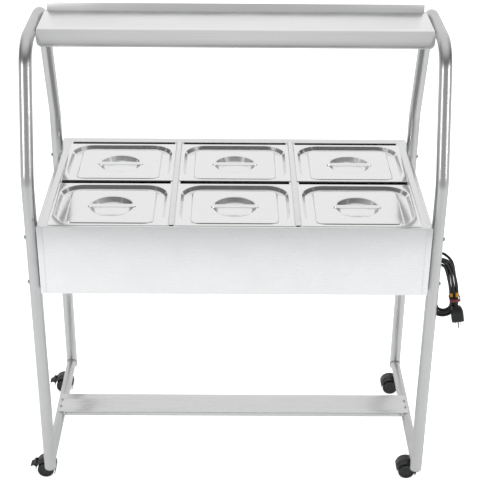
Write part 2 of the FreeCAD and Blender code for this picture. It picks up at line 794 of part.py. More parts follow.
# Casing: rim frame, four walls and a bottom, all of one sheet
def well_rim():
    rim = new_body("well_rim")
    x_flat = "(%s - rim_flat_side)" % HALF_WIDTH
    y_flat = "rim_flat_front"
    y_flat_rear = "(counter_depth - rim_flat_front)"
    shoulder = rectangle("-" + x_flat, x_flat, y_flat, y_flat_rear)
    well = rectangle("-" + WELL_X, WELL_X, WELL_FRONT, WELL_REAR + " + seam")
    ledge = rectangle("-" + LEDGE_X, LEDGE_X, LEDGE_FRONT, LEDGE_REAR)
    plate = rectangle("-" + HALF_WIDTH, HALF_WIDTH, "0", "counter_depth")
    extrude(rim, "TopPlate", "XY", RIM_TOP + " - sheet", RIM_TOP, plate)
    loft(rim, "SlopeUnderside", "Additive", LEDGE_TOP + " - sheet", well, RIM_TOP + " - sheet", shoulder)
    skirt_base = LEDGE_TOP + " - sheet - rim_skirt"
    skirt = rectangle(
        "-(%s + sheet)" % LEDGE_X, "%s + sheet" % LEDGE_X, LEDGE_FRONT + " - sheet", LEDGE_REAR + " + sheet"
    )
    extrude(rim, "Skirt", "XY", skirt_base, LEDGE_TOP + " - sheet", skirt)
    cut(rim, "Opening", "XY", skirt_base + " - overrun", RIM_TOP + " + overrun", ledge)
    loft(rim, "SlopeTop", "Subtractive", LEDGE_TOP, well, RIM_TOP, shoulder)
    return rim


WALL_TOP = "(counter_height - sheet)"


def cross_panel(label, face, sign):
    """Front or rear wall: a sheet with its top and bottom edges returned into the casing."""
    panel = new_body(label)
    inside = "%s %s sheet" % (face, sign)
    tip = "%s %s panel_return" % (face, sign)
    fold = outline(
        (face, CASING_BASE, "panel_corner"),
        (tip, CASING_BASE),
        (tip, CASING_BASE + " + sheet"),
        (inside, CASING_BASE + " + sheet"),
        (inside, WALL_TOP + " - sheet"),
        (tip, WALL_TOP + " - sheet"),
        (tip, WALL_TOP),
        (face, WALL_TOP),
    )
    end = "(%s - corner_return - seam)" % HALF_WIDTH
    extrude(panel, "Fold", "YZ", "-" + end, end, fold)
    return panel


def side_panel(label, side):
    """Side wall: its front and rear edges return round the casing's corners."""
    panel = new_body(label)
    face = side + HALF_WIDTH
    inside = "%s(%s - sheet)" % (side, HALF_WIDTH)
    tip = "%s(%s - corner_return)" % (side, HALF_WIDTH)
    fold = outline(
        (face, "0", "panel_corner"),
        (tip, "0"),
        (tip, "sheet"),
        (inside, "sheet"),
        (inside, "counter_depth - sheet"),
        (tip, "counter_depth - sheet"),
        (tip, "counter_depth"),
        (face, "counter_depth", "panel_corner"),
    )
    extrude(panel, "Fold", "XY", CASING_BASE, WALL_TOP, fold)
    holes = []
    for y in ("front_leg_inset", "rear_leg_y"):
        for z in ("bolt_top_height", "bolt_top_height - bolt_pitch"):
            holes.append(circle(y, z, "bolt_hole_radius"))
    if side == "":
        holes.append(circle("gland_inset", "gland_height", "gland_thread_radius + plug_fit"))
        start, end = inside + " - overrun", face + " + overrun"
    else:
        start, end = face + " - overrun", inside + " + overrun"
    cut(panel, "Holes", "YZ", start, end, *holes)
    return panel


def rear_panel():
    panel = cross_panel("rear_panel", "counter_depth", "-")
    shaft = circle("knob_x", "control_height", "shaft_radius + seam")
    wide = "(switch_width / 2 + switch_wall + switch_fit)"
    tall = "(switch_length / 2 + switch_wall + switch_fit)"
    window = rectangle(
        "switch_x - " + wide, "switch_x + " + wide, "control_height - " + tall, "control_height + " + tall
    )
    inside, outside = "counter_depth - sheet - overrun", "counter_depth + overrun"
    cut(panel, "ControlHoles", "XZ", inside, outside, shaft, window)
    return panel


def bottom_panel():
    panel = new_body("bottom_panel")
    x = "(%s - sheet - seam)" % HALF_WIDTH
    front = "(sheet + seam)"
    rear = "(counter_depth - sheet - seam)"
    base = "(%s + sheet)" % CASING_BASE
    plate = rectangle("-" + x, x, front, rear)
    extrude(panel, "Plate", "XY", base, base + " + sheet", plate)
    inner = rectangle("-(%s - sheet)" % x, x + " - sheet", front + " + sheet", rear + " - sheet")
    extrude(panel, "Upturn", "XY", base + " + sheet", base + " + bottom_upturn", plate, inner)
    hole = circle("-outlet_side_reach", "outlet_y", "outlet_radius + seam")
    cut(panel, "OutletHole", "XY", base + " - overrun", base + " + sheet + overrun", hole)
    return panel


# Pan supports: hat-section divider bars and open troughs, level with the rim's ledge
def divider_bar(label, side):
    bar = new_body(label, side + "column_pitch / 2")
    flange = "((column_pitch - pan_width) / 2 + ledge_reach)"
    cap = "(bar_cap_width / 2)"
    low = LEDGE_TOP + " - sheet"
    hat = outline(
        ("-" + flange, low),
        ("-" + flange, LEDGE_TOP),
        ("-" + cap, LEDGE_TOP),
        ("-" + cap, RIM_TOP, "rim_edge_fillet"),
        (cap, RIM_TOP, "rim_edge_fillet"),
        (cap, LEDGE_TOP),
        (flange, LEDGE_TOP),
        (flange, low),
        (cap + " - sheet", low),
        (cap + " - sheet", RIM_TOP + " - sheet"),
        ("-(%s - sheet)" % cap, RIM_TOP + " - sheet"),
        ("-(%s - sheet)" % cap, low),
    )
    extrude(bar, "Hat", "XZ", LEDGE_FRONT, LEDGE_REAR, hat)
    tongue = outline(
        ("-" + cap, LEDGE_TOP),
        ("-" + cap, RIM_TOP, "rim_edge_fillet"),
        (cap, RIM_TOP, "rim_edge_fillet"),
        (cap, LEDGE_TOP),
        (cap + " - sheet", LEDGE_TOP),
        (cap + " - sheet", RIM_TOP + " - sheet"),
        ("-(%s - sheet)" % cap, RIM_TOP + " - sheet"),
        ("-(%s - sheet)" % cap, LEDGE_TOP),
    )
    extrude(bar, "FrontTongue", "XZ", WELL_FRONT, LEDGE_FRONT, tongue)
    return bar


def cross_bars():
    """Three troughs between the rows of pans and three behind the rear row."""
    bars = new_body("cross_bars", "-column_pitch")
    reach = "(pan_width / 2 - ledge_reach)"
    low = LEDGE_TOP + " - sheet"
    floor = LEDGE_TOP + " - trough_depth"
    front = "(front_row_y + pan_length / 2)"
    rear = "(front_row_y + row_pitch - pan_length / 2)"
    middle_trough = outline(
        (front + " - ledge_reach", low),
        (front + " - ledge_reach", LEDGE_TOP),
        (front, LEDGE_TOP),
        (front, floor),
        (rear, floor),
        (rear, LEDGE_TOP),
        (rear + " + ledge_reach", LEDGE_TOP),
        (rear + " + ledge_reach", low),
        (rear + " + sheet", low),
        (rear + " + sheet", floor + " - sheet"),
        (front + " - sheet", floor + " - sheet"),
        (front + " - sheet", low),
    )
    front = "(front_row_y + row_pitch + pan_length / 2)"
    rear_trough = outline(
        (front + " - ledge_reach", low),
        (front + " - ledge_reach", LEDGE_TOP),
        (front, LEDGE_TOP),
        (front, floor),
        (WELL_REAR + " - sheet", floor),
        (WELL_REAR + " - sheet", LEDGE_TOP),
        (WELL_REAR, LEDGE_TOP),
        (WELL_REAR, floor + " - sheet"),
        (front + " - sheet", floor + " - sheet"),
        (front + " - sheet", low),
    )
    trough = extrude(bars, "Troughs", "YZ", "-" + reach, reach, middle_trough, rear_trough)
    repeat(bars, "ThreeColumns", [trough], "X", "2 * column_pitch", 3)
    return bars


# Water tank, with its outlet pipe and the immersed heating element
ELEMENT_HEIGHT = "(%s + element_clearance + element_radius)" % TANK_FLOOR


def water_tank():
    tank = new_body("water_tank")
    x = "(%s + sheet)" % LEDGE_X
    front = "(%s - sheet)" % LEDGE_FRONT
    rear = "(%s + sheet)" % LEDGE_REAR
    outer = rectangle(
        "-(%s + tank_sheet)" % x, x + " + tank_sheet", front + " - tank_sheet", rear + " + tank_sheet"
    )
    inner = rectangle("-" + x, x, front, rear)
    extrude(tank, "Block", "XY", TANK_FLOOR + " - tank_sheet", LEDGE_TOP + " - sheet", outer)
    pipe_end = TANK_FLOOR + " - outlet_drop"
    pipe = circle("-outlet_side_reach", "outlet_y", "outlet_radius")
    extrude(tank, "OutletPipe", "XY", pipe_end, TANK_FLOOR + " - tank_sheet", pipe)
    cut(tank, "Water", "XY", TANK_FLOOR, LEDGE_TOP, inner)
    bore = circle("-outlet_side_reach", "outlet_y", "outlet_radius - outlet_wall")
    cut(tank, "OutletBore", "XY", pipe_end + " - overrun", TANK_FLOOR + " + overrun", bore)
    leads = []
    for lead_x in ("element_left_lead_x", "element_right_lead_x"):
        leads.append(circle(lead_x, ELEMENT_HEIGHT, "element_radius + plug_fit"))
    cut(tank, "LeadHoles", "XZ", rear + " - overrun", rear + " + tank_sheet + overrun", *leads)
    return tank


def heating_element():
    element = new_body("heating_element")
    wall = "(%s + sheet + tank_sheet)" % LEDGE_REAR
    end = wall + " + element_lead_end"
    path = sketch_on(element, "Path", "XY", ELEMENT_HEIGHT)
    outline(
        ("element_right_lead_x", end),
        ("element_right_lead_x", "element_rear_y", "element_bend"),
        ("element_half_width", "element_rear_y", "element_bend"),
        ("element_half_width", "element_front_inset", "element_bend"),
        ("-element_half_width", "element_front_inset", "element_bend"),
        ("-element_half_width", "element_rear_y", "element_bend"),
        ("element_left_lead_x", "element_rear_y", "element_bend"),
        ("element_left_lead_x", end),
        closed=False,
    )(path)
    section = sketch_on(element, "Section", "XZ", end)
    circle("element_right_lead_x", ELEMENT_HEIGHT, "element_radius")(section)
    pipe = element.newObject("PartDesign::AdditivePipe", "BentRod")
    pipe.Profile = section
    pipe.Spine = (path, [""])
    unions = []
    for lead_x in ("element_left_lead_x", "element_right_lead_x"):
        unions.append(circle(lead_x, ELEMENT_HEIGHT, "union_radius"))
    extrude(element, "Unions", "XZ", wall, wall + " + union_length", *unions)
    return element


# Gastronorm pans, lids and the lids' strap handles
def pan(label, column, row_y):
    vessel = new_body(label, column, row_y, LEDGE_TOP)
    wide = "(pan_width / 2 - pan_flange)"
    long = "(pan_length / 2 - pan_flange)"
    top = rectangle(
        "-(%s + pan_sheet)" % wide, wide + " + pan_sheet",
        "-(%s + pan_sheet)" % long, long + " + pan_sheet", "pan_corner + pan_sheet"
    )
    foot = rectangle(
        "-(%s + pan_sheet - pan_taper)" % wide, wide + " + pan_sheet - pan_taper",
        "-(%s + pan_sheet - pan_taper)" % long, long + " + pan_sheet - pan_taper",
        "pan_corner + pan_sheet - pan_taper"
    )
    loft(vessel, "Outside", "Additive", "-pan_depth", foot, "pan_sheet", top)
    flange = rectangle(
        "-pan_width / 2", "pan_width / 2", "-pan_length / 2", "pan_length / 2", "pan_flange_corner"
    )
    extrude(vessel, "Flange", "XY", "0", "pan_sheet", flange)
    mouth = rectangle("-" + wide, wide, "-" + long, long, "pan_corner")
    floor = rectangle(
        "-(%s - pan_taper)" % wide, wide + " - pan_taper",
        "-(%s - pan_taper)" % long, long + " - pan_taper", "pan_corner - pan_taper"
    )
    loft(vessel, "Inside", "Subtractive", "pan_sheet - pan_depth", floor, "pan_sheet", mouth)
    low = number("-pan_depth")

    def foot_edge(edge):
        return abs(middle_of(edge).z - low) < number("pan_sheet") / 10

    def floor_edge(edge):
        return abs(middle_of(edge).z - low - number("pan_sheet")) < number("pan_sheet") / 10

    round_edges(vessel, "FootFillet", "pan_foot_fillet", foot_edge)
    round_edges(vessel, "FloorFillet", "pan_foot_fillet - pan_sheet", floor_edge)
    return vessel


def lid(label, column, row_y):
    """A pressed lid: flange, sloping recess, raised plateau and a round finger dish."""
    cover = new_body(label, column, row_y, LEDGE_TOP + " + pan_sheet")
    wide = "(pan_width / 2 - lid_flange)"
    long = "(pan_length / 2 - lid_flange)"

    def stage(inset, corner):
        """A rounded rectangle inside the recess's outline, by an inset all round."""
        return rectangle(
            "-(%s - %s)" % (wide, inset), "%s - %s" % (wide, inset),
            "-(%s - %s)" % (long, inset), "%s - %s" % (long, inset), corner
        )

    def plateau(grow, corner):
        half_wide = "(pan_width / 2 - plateau_side_inset + %s)" % grow
        half_long = "(pan_length / 2 - plateau_end_inset + %s)" % grow
        return rectangle("-" + half_wide, half_wide, "-" + half_long, half_long, corner)

    top = "lid_sheet"
    trough = "(lid_sheet - recess_depth)"
    table = "(lid_sheet - plateau_depth)"
    flange = rectangle("-pan_width / 2", "pan_width / 2", "-pan_length / 2", "pan_length / 2", "lid_corner")
    extrude(cover, "Flange", "XY", "0", top, flange)
    loft(
        cover, "RecessOutside", "Additive", trough + " - lid_sheet",
        stage("(recess_slope - lid_sheet)", "recess_corner - recess_slope + lid_sheet"),
        "0", stage("(0 - lid_sheet)", "recess_corner + lid_sheet"),
    )
    loft(
        cover, "RecessInside", "Subtractive", trough,
        stage("recess_slope", "recess_corner - recess_slope"), top, stage("0", "recess_corner"),
    )
    loft(
        cover, "Plateau", "Additive", trough, plateau("plateau_slope", "plateau_corner + plateau_slope"),
        table, plateau("0", "plateau_corner"),
    )
    loft(
        cover, "PlateauHollow", "Subtractive", trough + " - lid_sheet",
        plateau("(plateau_slope - lid_sheet)", "plateau_corner + plateau_slope - lid_sheet"),
        table + " - lid_sheet", plateau("(0 - lid_sheet)", "plateau_corner - lid_sheet"),
    )
    floor = "(%s - dish_depth)" % table
    bowl = outline(
        ("0", table),
        ("dish_radius + lid_sheet", table),
        ("dish_radius + lid_sheet", table + " - lid_sheet"),
        ("dish_radius + lid_sheet - dish_slope", floor + " - lid_sheet", "dish_slope / 2"),
        ("0", floor + " - lid_sheet"),
    )
    turn(cover, "DishOutside", "Revolution", "XZ", "Z", "0", bowl)
    hollow = outline(
        ("0", table + " + lid_sheet"),
        ("dish_radius", table + " + lid_sheet"),
        ("dish_radius", table),
        ("dish_radius - dish_slope", floor, "dish_slope / 2 - lid_sheet"),
        ("0", floor),
    )
    turn(cover, "DishInside", "Groove", "XZ", "Z", "0", hollow)
    return cover


def lid_handle(label, column, row_y):
    """A flat strap across the dish, welded down at both ends."""
    handle = new_body(label, column, row_y, LEDGE_TOP + " + pan_sheet + lid_sheet - plateau_depth")
    strap = rectangle(
        "-handle_length / 2", "handle_length / 2",
        "-handle_width / 2", "handle_width / 2", "handle_end_corner"
    )
    extrude(handle, "Strap", "XY", "0", "handle_sheet", strap)
    return handle


# Controls on the operator's side: thermostat with its knob, and a rocker switch
def thermostat_body():
    body = new_body("thermostat_body", "knob_x", "counter_depth - sheet", "control_height")
    case = rectangle(
        "-thermostat_width / 2", "thermostat_width / 2",
        "-thermostat_length / 2", "thermostat_length / 2", "thermostat_corner"
    )
    extrude(body, "Case", "XZ", "-thermostat_depth", "0", case)
    extrude(body, "Shaft", "XZ", "0", "sheet + shaft_reach", circle("0", "0", "shaft_radius"))
    return body


def thermostat_knob():
    """A turned knob: a skirt, a waisted grip with scallops, and a blind bore on the shaft."""
    knob = new_body("thermostat_knob", "knob_x", "counter_depth + knob_gap", "control_height")
    profile = outline(
        ("0", "0"),
        ("knob_radius", "0"),
        ("knob_radius", "knob_skirt_height", "knob_gap"),
        ("knob_waist_radius + knob_gap", "knob_skirt_height", "knob_gap"),
        ("knob_waist_radius", "knob_height", "knob_gap"),
        ("0", "knob_height"),
    )
    turn(knob, "Turned", "Revolution", "XY", "Y", "0", profile)
    bore = circle("0", "0", "shaft_radius + shaft_running_gap")
    cut(knob, "Bore", "XZ", "0", "shaft_reach", bore)
    scallops = []
    for step in range(int(number("knob_grip_count"))):
        angle = "%d * 360 / knob_grip_count" % step
        reach = "(knob_waist_radius + knob_grip_radius / 2)"
        x, z = "%s * cos(%s)" % (reach, angle), "%s * sin(%s)" % (reach, angle)
        scallops.append(circle(x, z, "knob_grip_radius"))
    cut(knob, "Scallops", "XZ", "knob_skirt_height + knob_gap", "knob_height + overrun", *scallops)
    return knob


def switch_housing():
    housing = new_body("switch_housing", "switch_x", "counter_depth", "control_height")
    wide = "(switch_width / 2 + switch_wall)"
    tall = "(switch_length / 2 + switch_wall)"
    case = rectangle("-" + wide, wide, "-" + tall, tall)
    extrude(housing, "Case", "XZ", "-switch_depth", "0", case)
    bezel = rectangle(
        "-(%s + switch_bezel)" % wide, wide + " + switch_bezel",
        "-(%s + switch_bezel)" % tall, tall + " + switch_bezel", "switch_wall"
    )
    extrude(housing, "Bezel", "XZ", "0", "switch_bezel_height", bezel)
    well = rectangle("-switch_width / 2", "switch_width / 2", "-switch_length / 2", "switch_length / 2")
    cut(housing, "Well", "XZ", "switch_wall - switch_depth", "switch_bezel_height + overrun", well)
    pins = circle("-rocker_pivot_depth", "0", "rocker_pin_radius + rocker_running_gap")
    reach = "(switch_width / 2 + rocker_pin_reach)"
    cut(housing, "PinHoles", "YZ", "-" + reach, reach, pins)
    return housing


def switch_rocker():
    """A rocker dished between its two ends, on two pins, tipped to one side at rest."""
    rocker = new_body("switch_rocker", "switch_x", "counter_depth - rocker_pivot_depth", "control_height")
    rocker.Placement.Rotation = FreeCAD.Rotation(FreeCAD.Vector(1, 0, 0), number("rocker_tilt"))
    rocker.setExpression("Placement.Rotation.Angle", bound("rocker_tilt"))
    half = "(switch_length / 2 - 2 * rocker_gap)"
    crown = "(rocker_pivot_depth + switch_bezel_height)"
    rise = "(%s + %s * tan(rocker_tilt))" % (crown, half)
    profile = outline(
        (crown, "0"),
        (rise, "-%s * cos(rocker_tilt) + rocker_gap" % half, "rocker_gap"),
        ("-rocker_pivot_depth / 2", "-%s * cos(rocker_tilt) + 2 * rocker_gap" % half),
        ("-rocker_pivot_depth", "0"),
        ("-rocker_pivot_depth / 2", "%s * cos(rocker_tilt) - 2 * rocker_gap" % half),
        (rise, "%s * cos(rocker_tilt) - rocker_gap" % half, "rocker_gap"),
    )
    wide = "(switch_width / 2 - rocker_gap)"
    extrude(rocker, "Dished", "YZ", "-" + wide, wide, profile)
    reach = "(switch_width / 2 + rocker_pin_reach - rocker_gap)"
    extrude(rocker, "Pins", "YZ", "-" + reach, reach, circle("0", "0", "rocker_pin_radius"))
    return rocker


# Drain valve: a ball valve pushed on the tank's outlet, with its stem to the back
VALVE_TOP = "(%s - outlet_drop + valve_overlap)" % TANK_FLOOR
VALVE_CAP = "(valve_boss_reach + lever_sheet + 2 * lever_gap)"


def drain_valve_body():
    valve = new_body("drain_valve_body", "-outlet_side_reach", "outlet_y", VALVE_TOP)
    joint = "(outlet_radius + valve_fit)"
    waist = "(valve_end_length + valve_shoulder)"
    profile = outline(
        (joint, "0"),
        ("valve_end_radius", "0"),
        ("valve_end_radius", "-valve_end_length"),
        ("valve_body_radius", "-" + waist),
        ("valve_body_radius", waist + " - valve_length"),
        ("valve_end_radius", "valve_end_length - valve_length"),
        ("valve_end_radius", "-valve_length"),
        ("valve_bore_radius", "-valve_length"),
        ("valve_bore_radius", "valve_overlap - valve_length"),
        ("0", "valve_overlap - valve_length"),
        ("0", "-valve_overlap - valve_fit"),
        (joint, "-valve_overlap - valve_fit"),
    )
    turn(valve, "Turned", "Revolution", "XZ", "Z", "0", profile)
    middle = "-valve_length / 2"
    extrude(valve, "Boss", "XZ", "0", "valve_boss_reach", circle("0", middle, "valve_boss_radius"))
    extrude(valve, "Stem", "XZ", "valve_boss_reach", VALVE_CAP, circle("0", middle, "valve_stem_radius"))
    cap = circle("0", middle, "lever_cap_radius")
    extrude(valve, "CapNut", "XZ", VALVE_CAP, VALVE_CAP + " + lever_cap_height", cap)
    return valve


def drain_valve_lever():
    y = "outlet_y + valve_boss_reach + lever_gap"
    lever = new_body("drain_valve_lever", "-outlet_side_reach", y, VALVE_TOP + " - valve_length / 2")
    grip = outline(
        ("0", "-lever_grip_width / 2"),
        ("lever_length", "-lever_grip_width / 2", "lever_grip_width / 2 - lever_gap"),
        ("lever_length", "lever_grip_width / 2", "lever_grip_width / 2 - lever_gap"),
        ("0", "lever_grip_width / 2"),
    )
    extrude(lever, "Grip", "XZ", "0", "lever_sheet", grip)
    extrude(lever, "Hub", "XZ", "0", "lever_sheet", circle("0", "0", "lever_hub_radius"))
    bore = circle("0", "0", "valve_stem_radius + valve_running_gap")
    cut(lever, "Bore", "XZ", "-overrun", "lever_sheet + overrun", bore)
    return lever


# Casters: fixed stems under the rails, hoods that swivel on them, twin wheels and brake levers
COLLAR_BASE = "(boss_top_height + collar_gap)"


def caster_stems():
    stems = new_body("caster_stems", "-" + FRAME_X, "caster_front_inset")
    collar_top = "(rail_height - rail_radius)"
    profile = outline(
        ("0", "stem_base_height"),
        ("stem_radius", "stem_base_height"),
        ("stem_radius", COLLAR_BASE),
        ("collar_radius", COLLAR_BASE),
        ("collar_radius", collar_top),
        ("stem_radius", collar_top),
        ("stem_radius", "rail_height"),
        ("0", "rail_height"),
    )
    stem = turn(stems, "Stem", "Revolution", "XZ", "Z", "0", profile)
    repeat(stems, "FourStems", [stem], "X", "2 * " + FRAME_X, 2, "Y", "caster_rear_y - caster_front_inset")
    return stems


def caster_hood(label, x, y, braked):
    hood = new_body(label, x, y)
    centre = "-caster_trail"
    arch = "(wheel_radius + hood_rise)"
    cover = [circle(centre, arch, "hood_radius"), circle(centre, arch, "hood_radius - hood_wall")]
    extrude(hood, "Cover", "XZ", "-hood_half_width", "hood_half_width", *cover)
    below = rectangle(
        centre + " - hood_radius - overrun", centre + " + hood_radius + overrun",
        "-hood_radius", "hood_cut_height"
    )
    cut(hood, "OpenBelow", "XZ", "-hood_half_width - overrun", "hood_half_width + overrun", below)
    chin = "wheel_radius - hood_core_radius"
    core = outline(
        (centre + " - hood_core_radius", chin, "hood_core_radius * core_corner_share"),
        (centre + " + hood_core_radius", chin, "hood_core_radius * core_corner_share"),
        ("boss_radius", "stem_base_height - hood_core"),
        ("boss_radius", "boss_base_height + hood_wall"),
        (centre, arch + " + hood_radius - hood_wall / 2"),
        (centre + " - hood_core_radius", arch + " + hood_radius / 2", "hood_core_radius / 2"),
    )
    extrude(hood, "Core", "XZ", "-hood_core", "hood_core", core)
    extrude(hood, "Boss", "XY", "boss_base_height", "boss_top_height", circle("0", "0", "boss_radius"))
    bore = circle("0", "0", "stem_radius + stem_running_gap")
    cut(hood, "StemBore", "XY", "stem_base_height - collar_gap", "boss_top_height + overrun", bore)
    axle_bore = circle(centre, "wheel_radius", "axle_radius + axle_running_gap")
    cut(hood, "AxleBore", "XZ", "-hood_core - overrun", "hood_core + overrun", axle_bore)
    if braked:
        pivot_x, pivot_z = "brake_pivot_x", "brake_pivot_height"
        ear = outline(
            (pivot_x + " - ear_radius", pivot_z + " - ear_radius", "ear_radius * ear_corner_share"),
            (pivot_x + " - ear_radius", pivot_z + " + ear_radius", "ear_radius * ear_corner_share"),
            (pivot_x + " + 2 * ear_radius", pivot_z + " + ear_radius"),
            (pivot_x + " + ear_radius * ear_foot_share", pivot_z + " - ear_radius"),
        )
        outside = "(ear_inner + ear_wall)"
        extrude(hood, "RearEar", "XZ", "ear_inner", outside, ear)
        extrude(hood, "FrontEar", "XZ", "-" + outside, "-ear_inner", ear)
        pin = circle(pivot_x, pivot_z, "brake_pin_radius")
        extrude(hood, "BrakePin", "XZ", "-" + outside, outside, pin)
    return hood


def caster_wheels(label, x, y):
    """Two wheels pressed on one axle, which turns in the hood's core."""
    wheels = new_body(label, x + " - caster_trail", y, "wheel_radius")
    outer = "(wheel_inner + wheel_width)"
    profile = outline(
        ("0", "-(%s - wheel_recess_depth)" % outer),
        ("wheel_recess_radius", "-(%s - wheel_recess_depth)" % outer),
        ("wheel_recess_radius + wheel_recess_depth / 2", "-" + outer),
        ("wheel_radius", "-" + outer, "wheel_fillet"),
        ("wheel_radius", "-wheel_inner", "wheel_fillet / 2"),
        ("axle_radius", "-wheel_inner"),
        ("axle_radius", "wheel_inner"),
        ("wheel_radius", "wheel_inner", "wheel_fillet / 2"),
        ("wheel_radius", outer, "wheel_fillet"),
        ("wheel_recess_radius + wheel_recess_depth / 2", outer),
        ("wheel_recess_radius", outer + " - wheel_recess_depth"),
        ("0", outer + " - wheel_recess_depth"),
    )
    turn(wheels, "TwinWheels", "Revolution", "XY", "Y", "0", profile)
    return wheels


def brake_lever(label, x, y):
    lever = new_body(label, x + " + brake_pivot_x", y, "brake_pivot_height")
    pedal = outline(
        ("0", "brake_hub_radius"),
        ("-brake_reach", "brake_sheet / 2 - brake_tip_drop", "brake_sheet / 4"),
        ("-brake_reach", "-brake_sheet / 2 - brake_tip_drop", "brake_sheet / 4"),
        ("0", "brake_hub_radius - brake_sheet - brake_hub_radius"),
    )
    extrude(lever, "Pedal", "XZ", "-brake_half_width", "brake_half_width", pedal)
    hub = circle("0", "0", "brake_hub_radius")
    extrude(lever, "Hub", "XZ", "-brake_half_width", "brake_half_width", hub)
    bore = circle("0", "0", "brake_pin_radius + brake_running_gap")
    cut(lever, "Bore", "XZ", "-brake_half_width - overrun", "brake_half_width + overrun", bore)
    return lever


# Mains cord: gland, lead, hank, tie and plug
GLAND_END = "(counter_width / 2 + gland_hex_height + gland_cap_height + gland_nose_length)"
# The lead's stops from the gland's end: across, back and up, and its last run into the hank
LEAD_ROUTE = [(17, 0, 0), (34, -4, -10), (49, -9, -27)]
LEAD_LAST_RUN = 19
# The tail's stops below the hank's right side: across, along, and forward of the front layer
TAIL_ROUTE = [(0, -12, 0), (-0.3, -26, -4.4), (-0.7, -40, -9.4), (-1, -54, -11.9)]
# The share of a run that the bend at its end takes
RUN_SHARE = 0.45
# A tight end arc's tangent length, as a share of the loop's half width
END_SHARE = 0.9
# The quarter turn that the hank's rear layer ends on, where it climbs to the front layer
CLIMB_QUARTER = 10
# Samples one cord radius apart that lie too near along the cord to tell a gap
NEIGHBOUR_SAMPLES = 6


def hexagon(across_flats):
    points = []
    for step in range(6):
        angle = "%d * 60" % step
        radius = "(%s / 2 / cos(30))" % across_flats
        points.append(("%s * cos(%s)" % (radius, angle), "%s * sin(%s)" % (radius, angle)))
    return outline(*points)


def cord_gland():
    gland = new_body("cord_gland", HALF_WIDTH, "gland_inset", "gland_height")
    extrude(gland, "Hex", "YZ", "0", "gland_hex_height", hexagon("gland_hex"))
    cap_end = "(gland_hex_height + gland_cap_height)"
    nose_end = "(%s + gland_nose_length)" % cap_end
    nose = outline(
        ("gland_hex_height", "0"),
        ("gland_hex_height", "gland_cap_radius"),
        (cap_end, "gland_cap_radius", "gland_thread_tail"),
        (cap_end + " + gland_thread_tail", "gland_nose_radius + gland_thread_tail", "gland_nose_fillet"),
        (nose_end, "gland_nose_radius"),
        (nose_end, "0"),
    )
    turn(gland, "CapAndNose", "Revolution", "XY", "X", "0", nose)
    thread_end = "-(sheet + gland_nut_height + gland_thread_tail)"
    extrude(gland, "Thread", "YZ", thread_end, "0", circle("0", "0", "gland_thread_radius"))
    extrude(gland, "Nut", "YZ", "-(sheet + gland_nut_height)", "-sheet", hexagon("gland_hex"))
    return gland


def round_tube(label, wire, start, direction, radius):
    """A Part::Feature swept along a wire of straight runs and arcs."""
    edge = Part.Circle(start, direction, radius).toShape()
    piece = doc.addObject("Part::Feature", label)
    piece.Label = label
    piece.Shape = wire.makePipeShell([Part.Wire(edge)], True, False)
    place(piece)
    return piece


def bent_edges(points, lead_name):
    """Straight runs joined by tangent arcs, each as large as its two runs allow."""
    edges = []
    radii = []
    here = points[0]
    for before, corner, after in zip(points, points[1:], points[2:]):
        back = before - corner
        ahead = after - corner
        half_turn = (math.pi - back.getAngle(ahead)) / 2
        reach = RUN_SHARE * min(back.Length, ahead.Length)
        radii.append(reach / math.tan(half_turn))
        back.normalize()
        ahead.normalize()
        start = corner + back * reach
        end = corner + ahead * reach
        centre = corner + (back + ahead).normalize() * (radii[-1] / math.cos(half_turn))
        middle = centre + (corner - centre).normalize() * radii[-1]
        edges.append(Part.LineSegment(here, start).toShape())
        edges.append(Part.Arc(start, middle, end).toShape())
        here = end
    edges.append(Part.LineSegment(here, points[-1]).toShape())
    print(lead_name, "arc radii", [round(radius, 1) for radius in radii])
    return edges


def hank_point(along_width, along_length, y):
    """A point of the hank, from its own tilted middle, in the casing's frame."""
    tilt = math.radians(number("hank_tilt"))
    x = number("hank_x") + along_width * math.cos(tilt) - along_length * math.sin(tilt)
    z = number("hank_height") + along_width * math.sin(tilt) + along_length * math.cos(tilt)
    return FreeCAD.Vector(x, y, z)


def hank_way(along_width, along_length, along_y=0):
    """A direction in the hank's own tilted plane."""
    return (hank_point(along_width, along_length, along_y) - hank_point(0, 0, 0)).normalize()


def biarc(start, start_way, end, end_way, start_reach, end_reach):
    """Two arcs along the given directions. One end's tangent length is given, the other is worked out."""
    chord = end - start
    spread = 1 - start_way.dot(end_way)
    if start_reach is None:
        start_reach = (chord.dot(chord) / 2 - end_reach * chord.dot(end_way)) / (
            chord.dot(start_way) + end_reach * spread
        )
    else:
        end_reach = (chord.dot(chord) / 2 - start_reach * chord.dot(start_way)) / (
            chord.dot(end_way) + start_reach * spread
        )
    near_end = start + start_way * start_reach
    far_end = end - end_way * end_reach
    joint = near_end + (far_end - near_end) * (start_reach / (start_reach + end_reach))
    first_arc = arc_along(start, start_way, joint)
    last_arc = arc_along(end, end_way * -1, joint, True)
    return [first_arc.toShape(), last_arc.toShape()]


def arc_along(first, way, last, turned=False):
    """The arc from one point to another that leaves the first along a direction."""
    span = last - first
    across = (span - way * span.dot(way)).normalize()
    radius = span.dot(span) / (2 * span.dot(across))
    centre = first + across * radius
    middle = centre + ((first - centre) + (last - centre)).normalize() * radius
    return Part.Arc(last, middle, first) if turned else Part.Arc(first, middle, last)


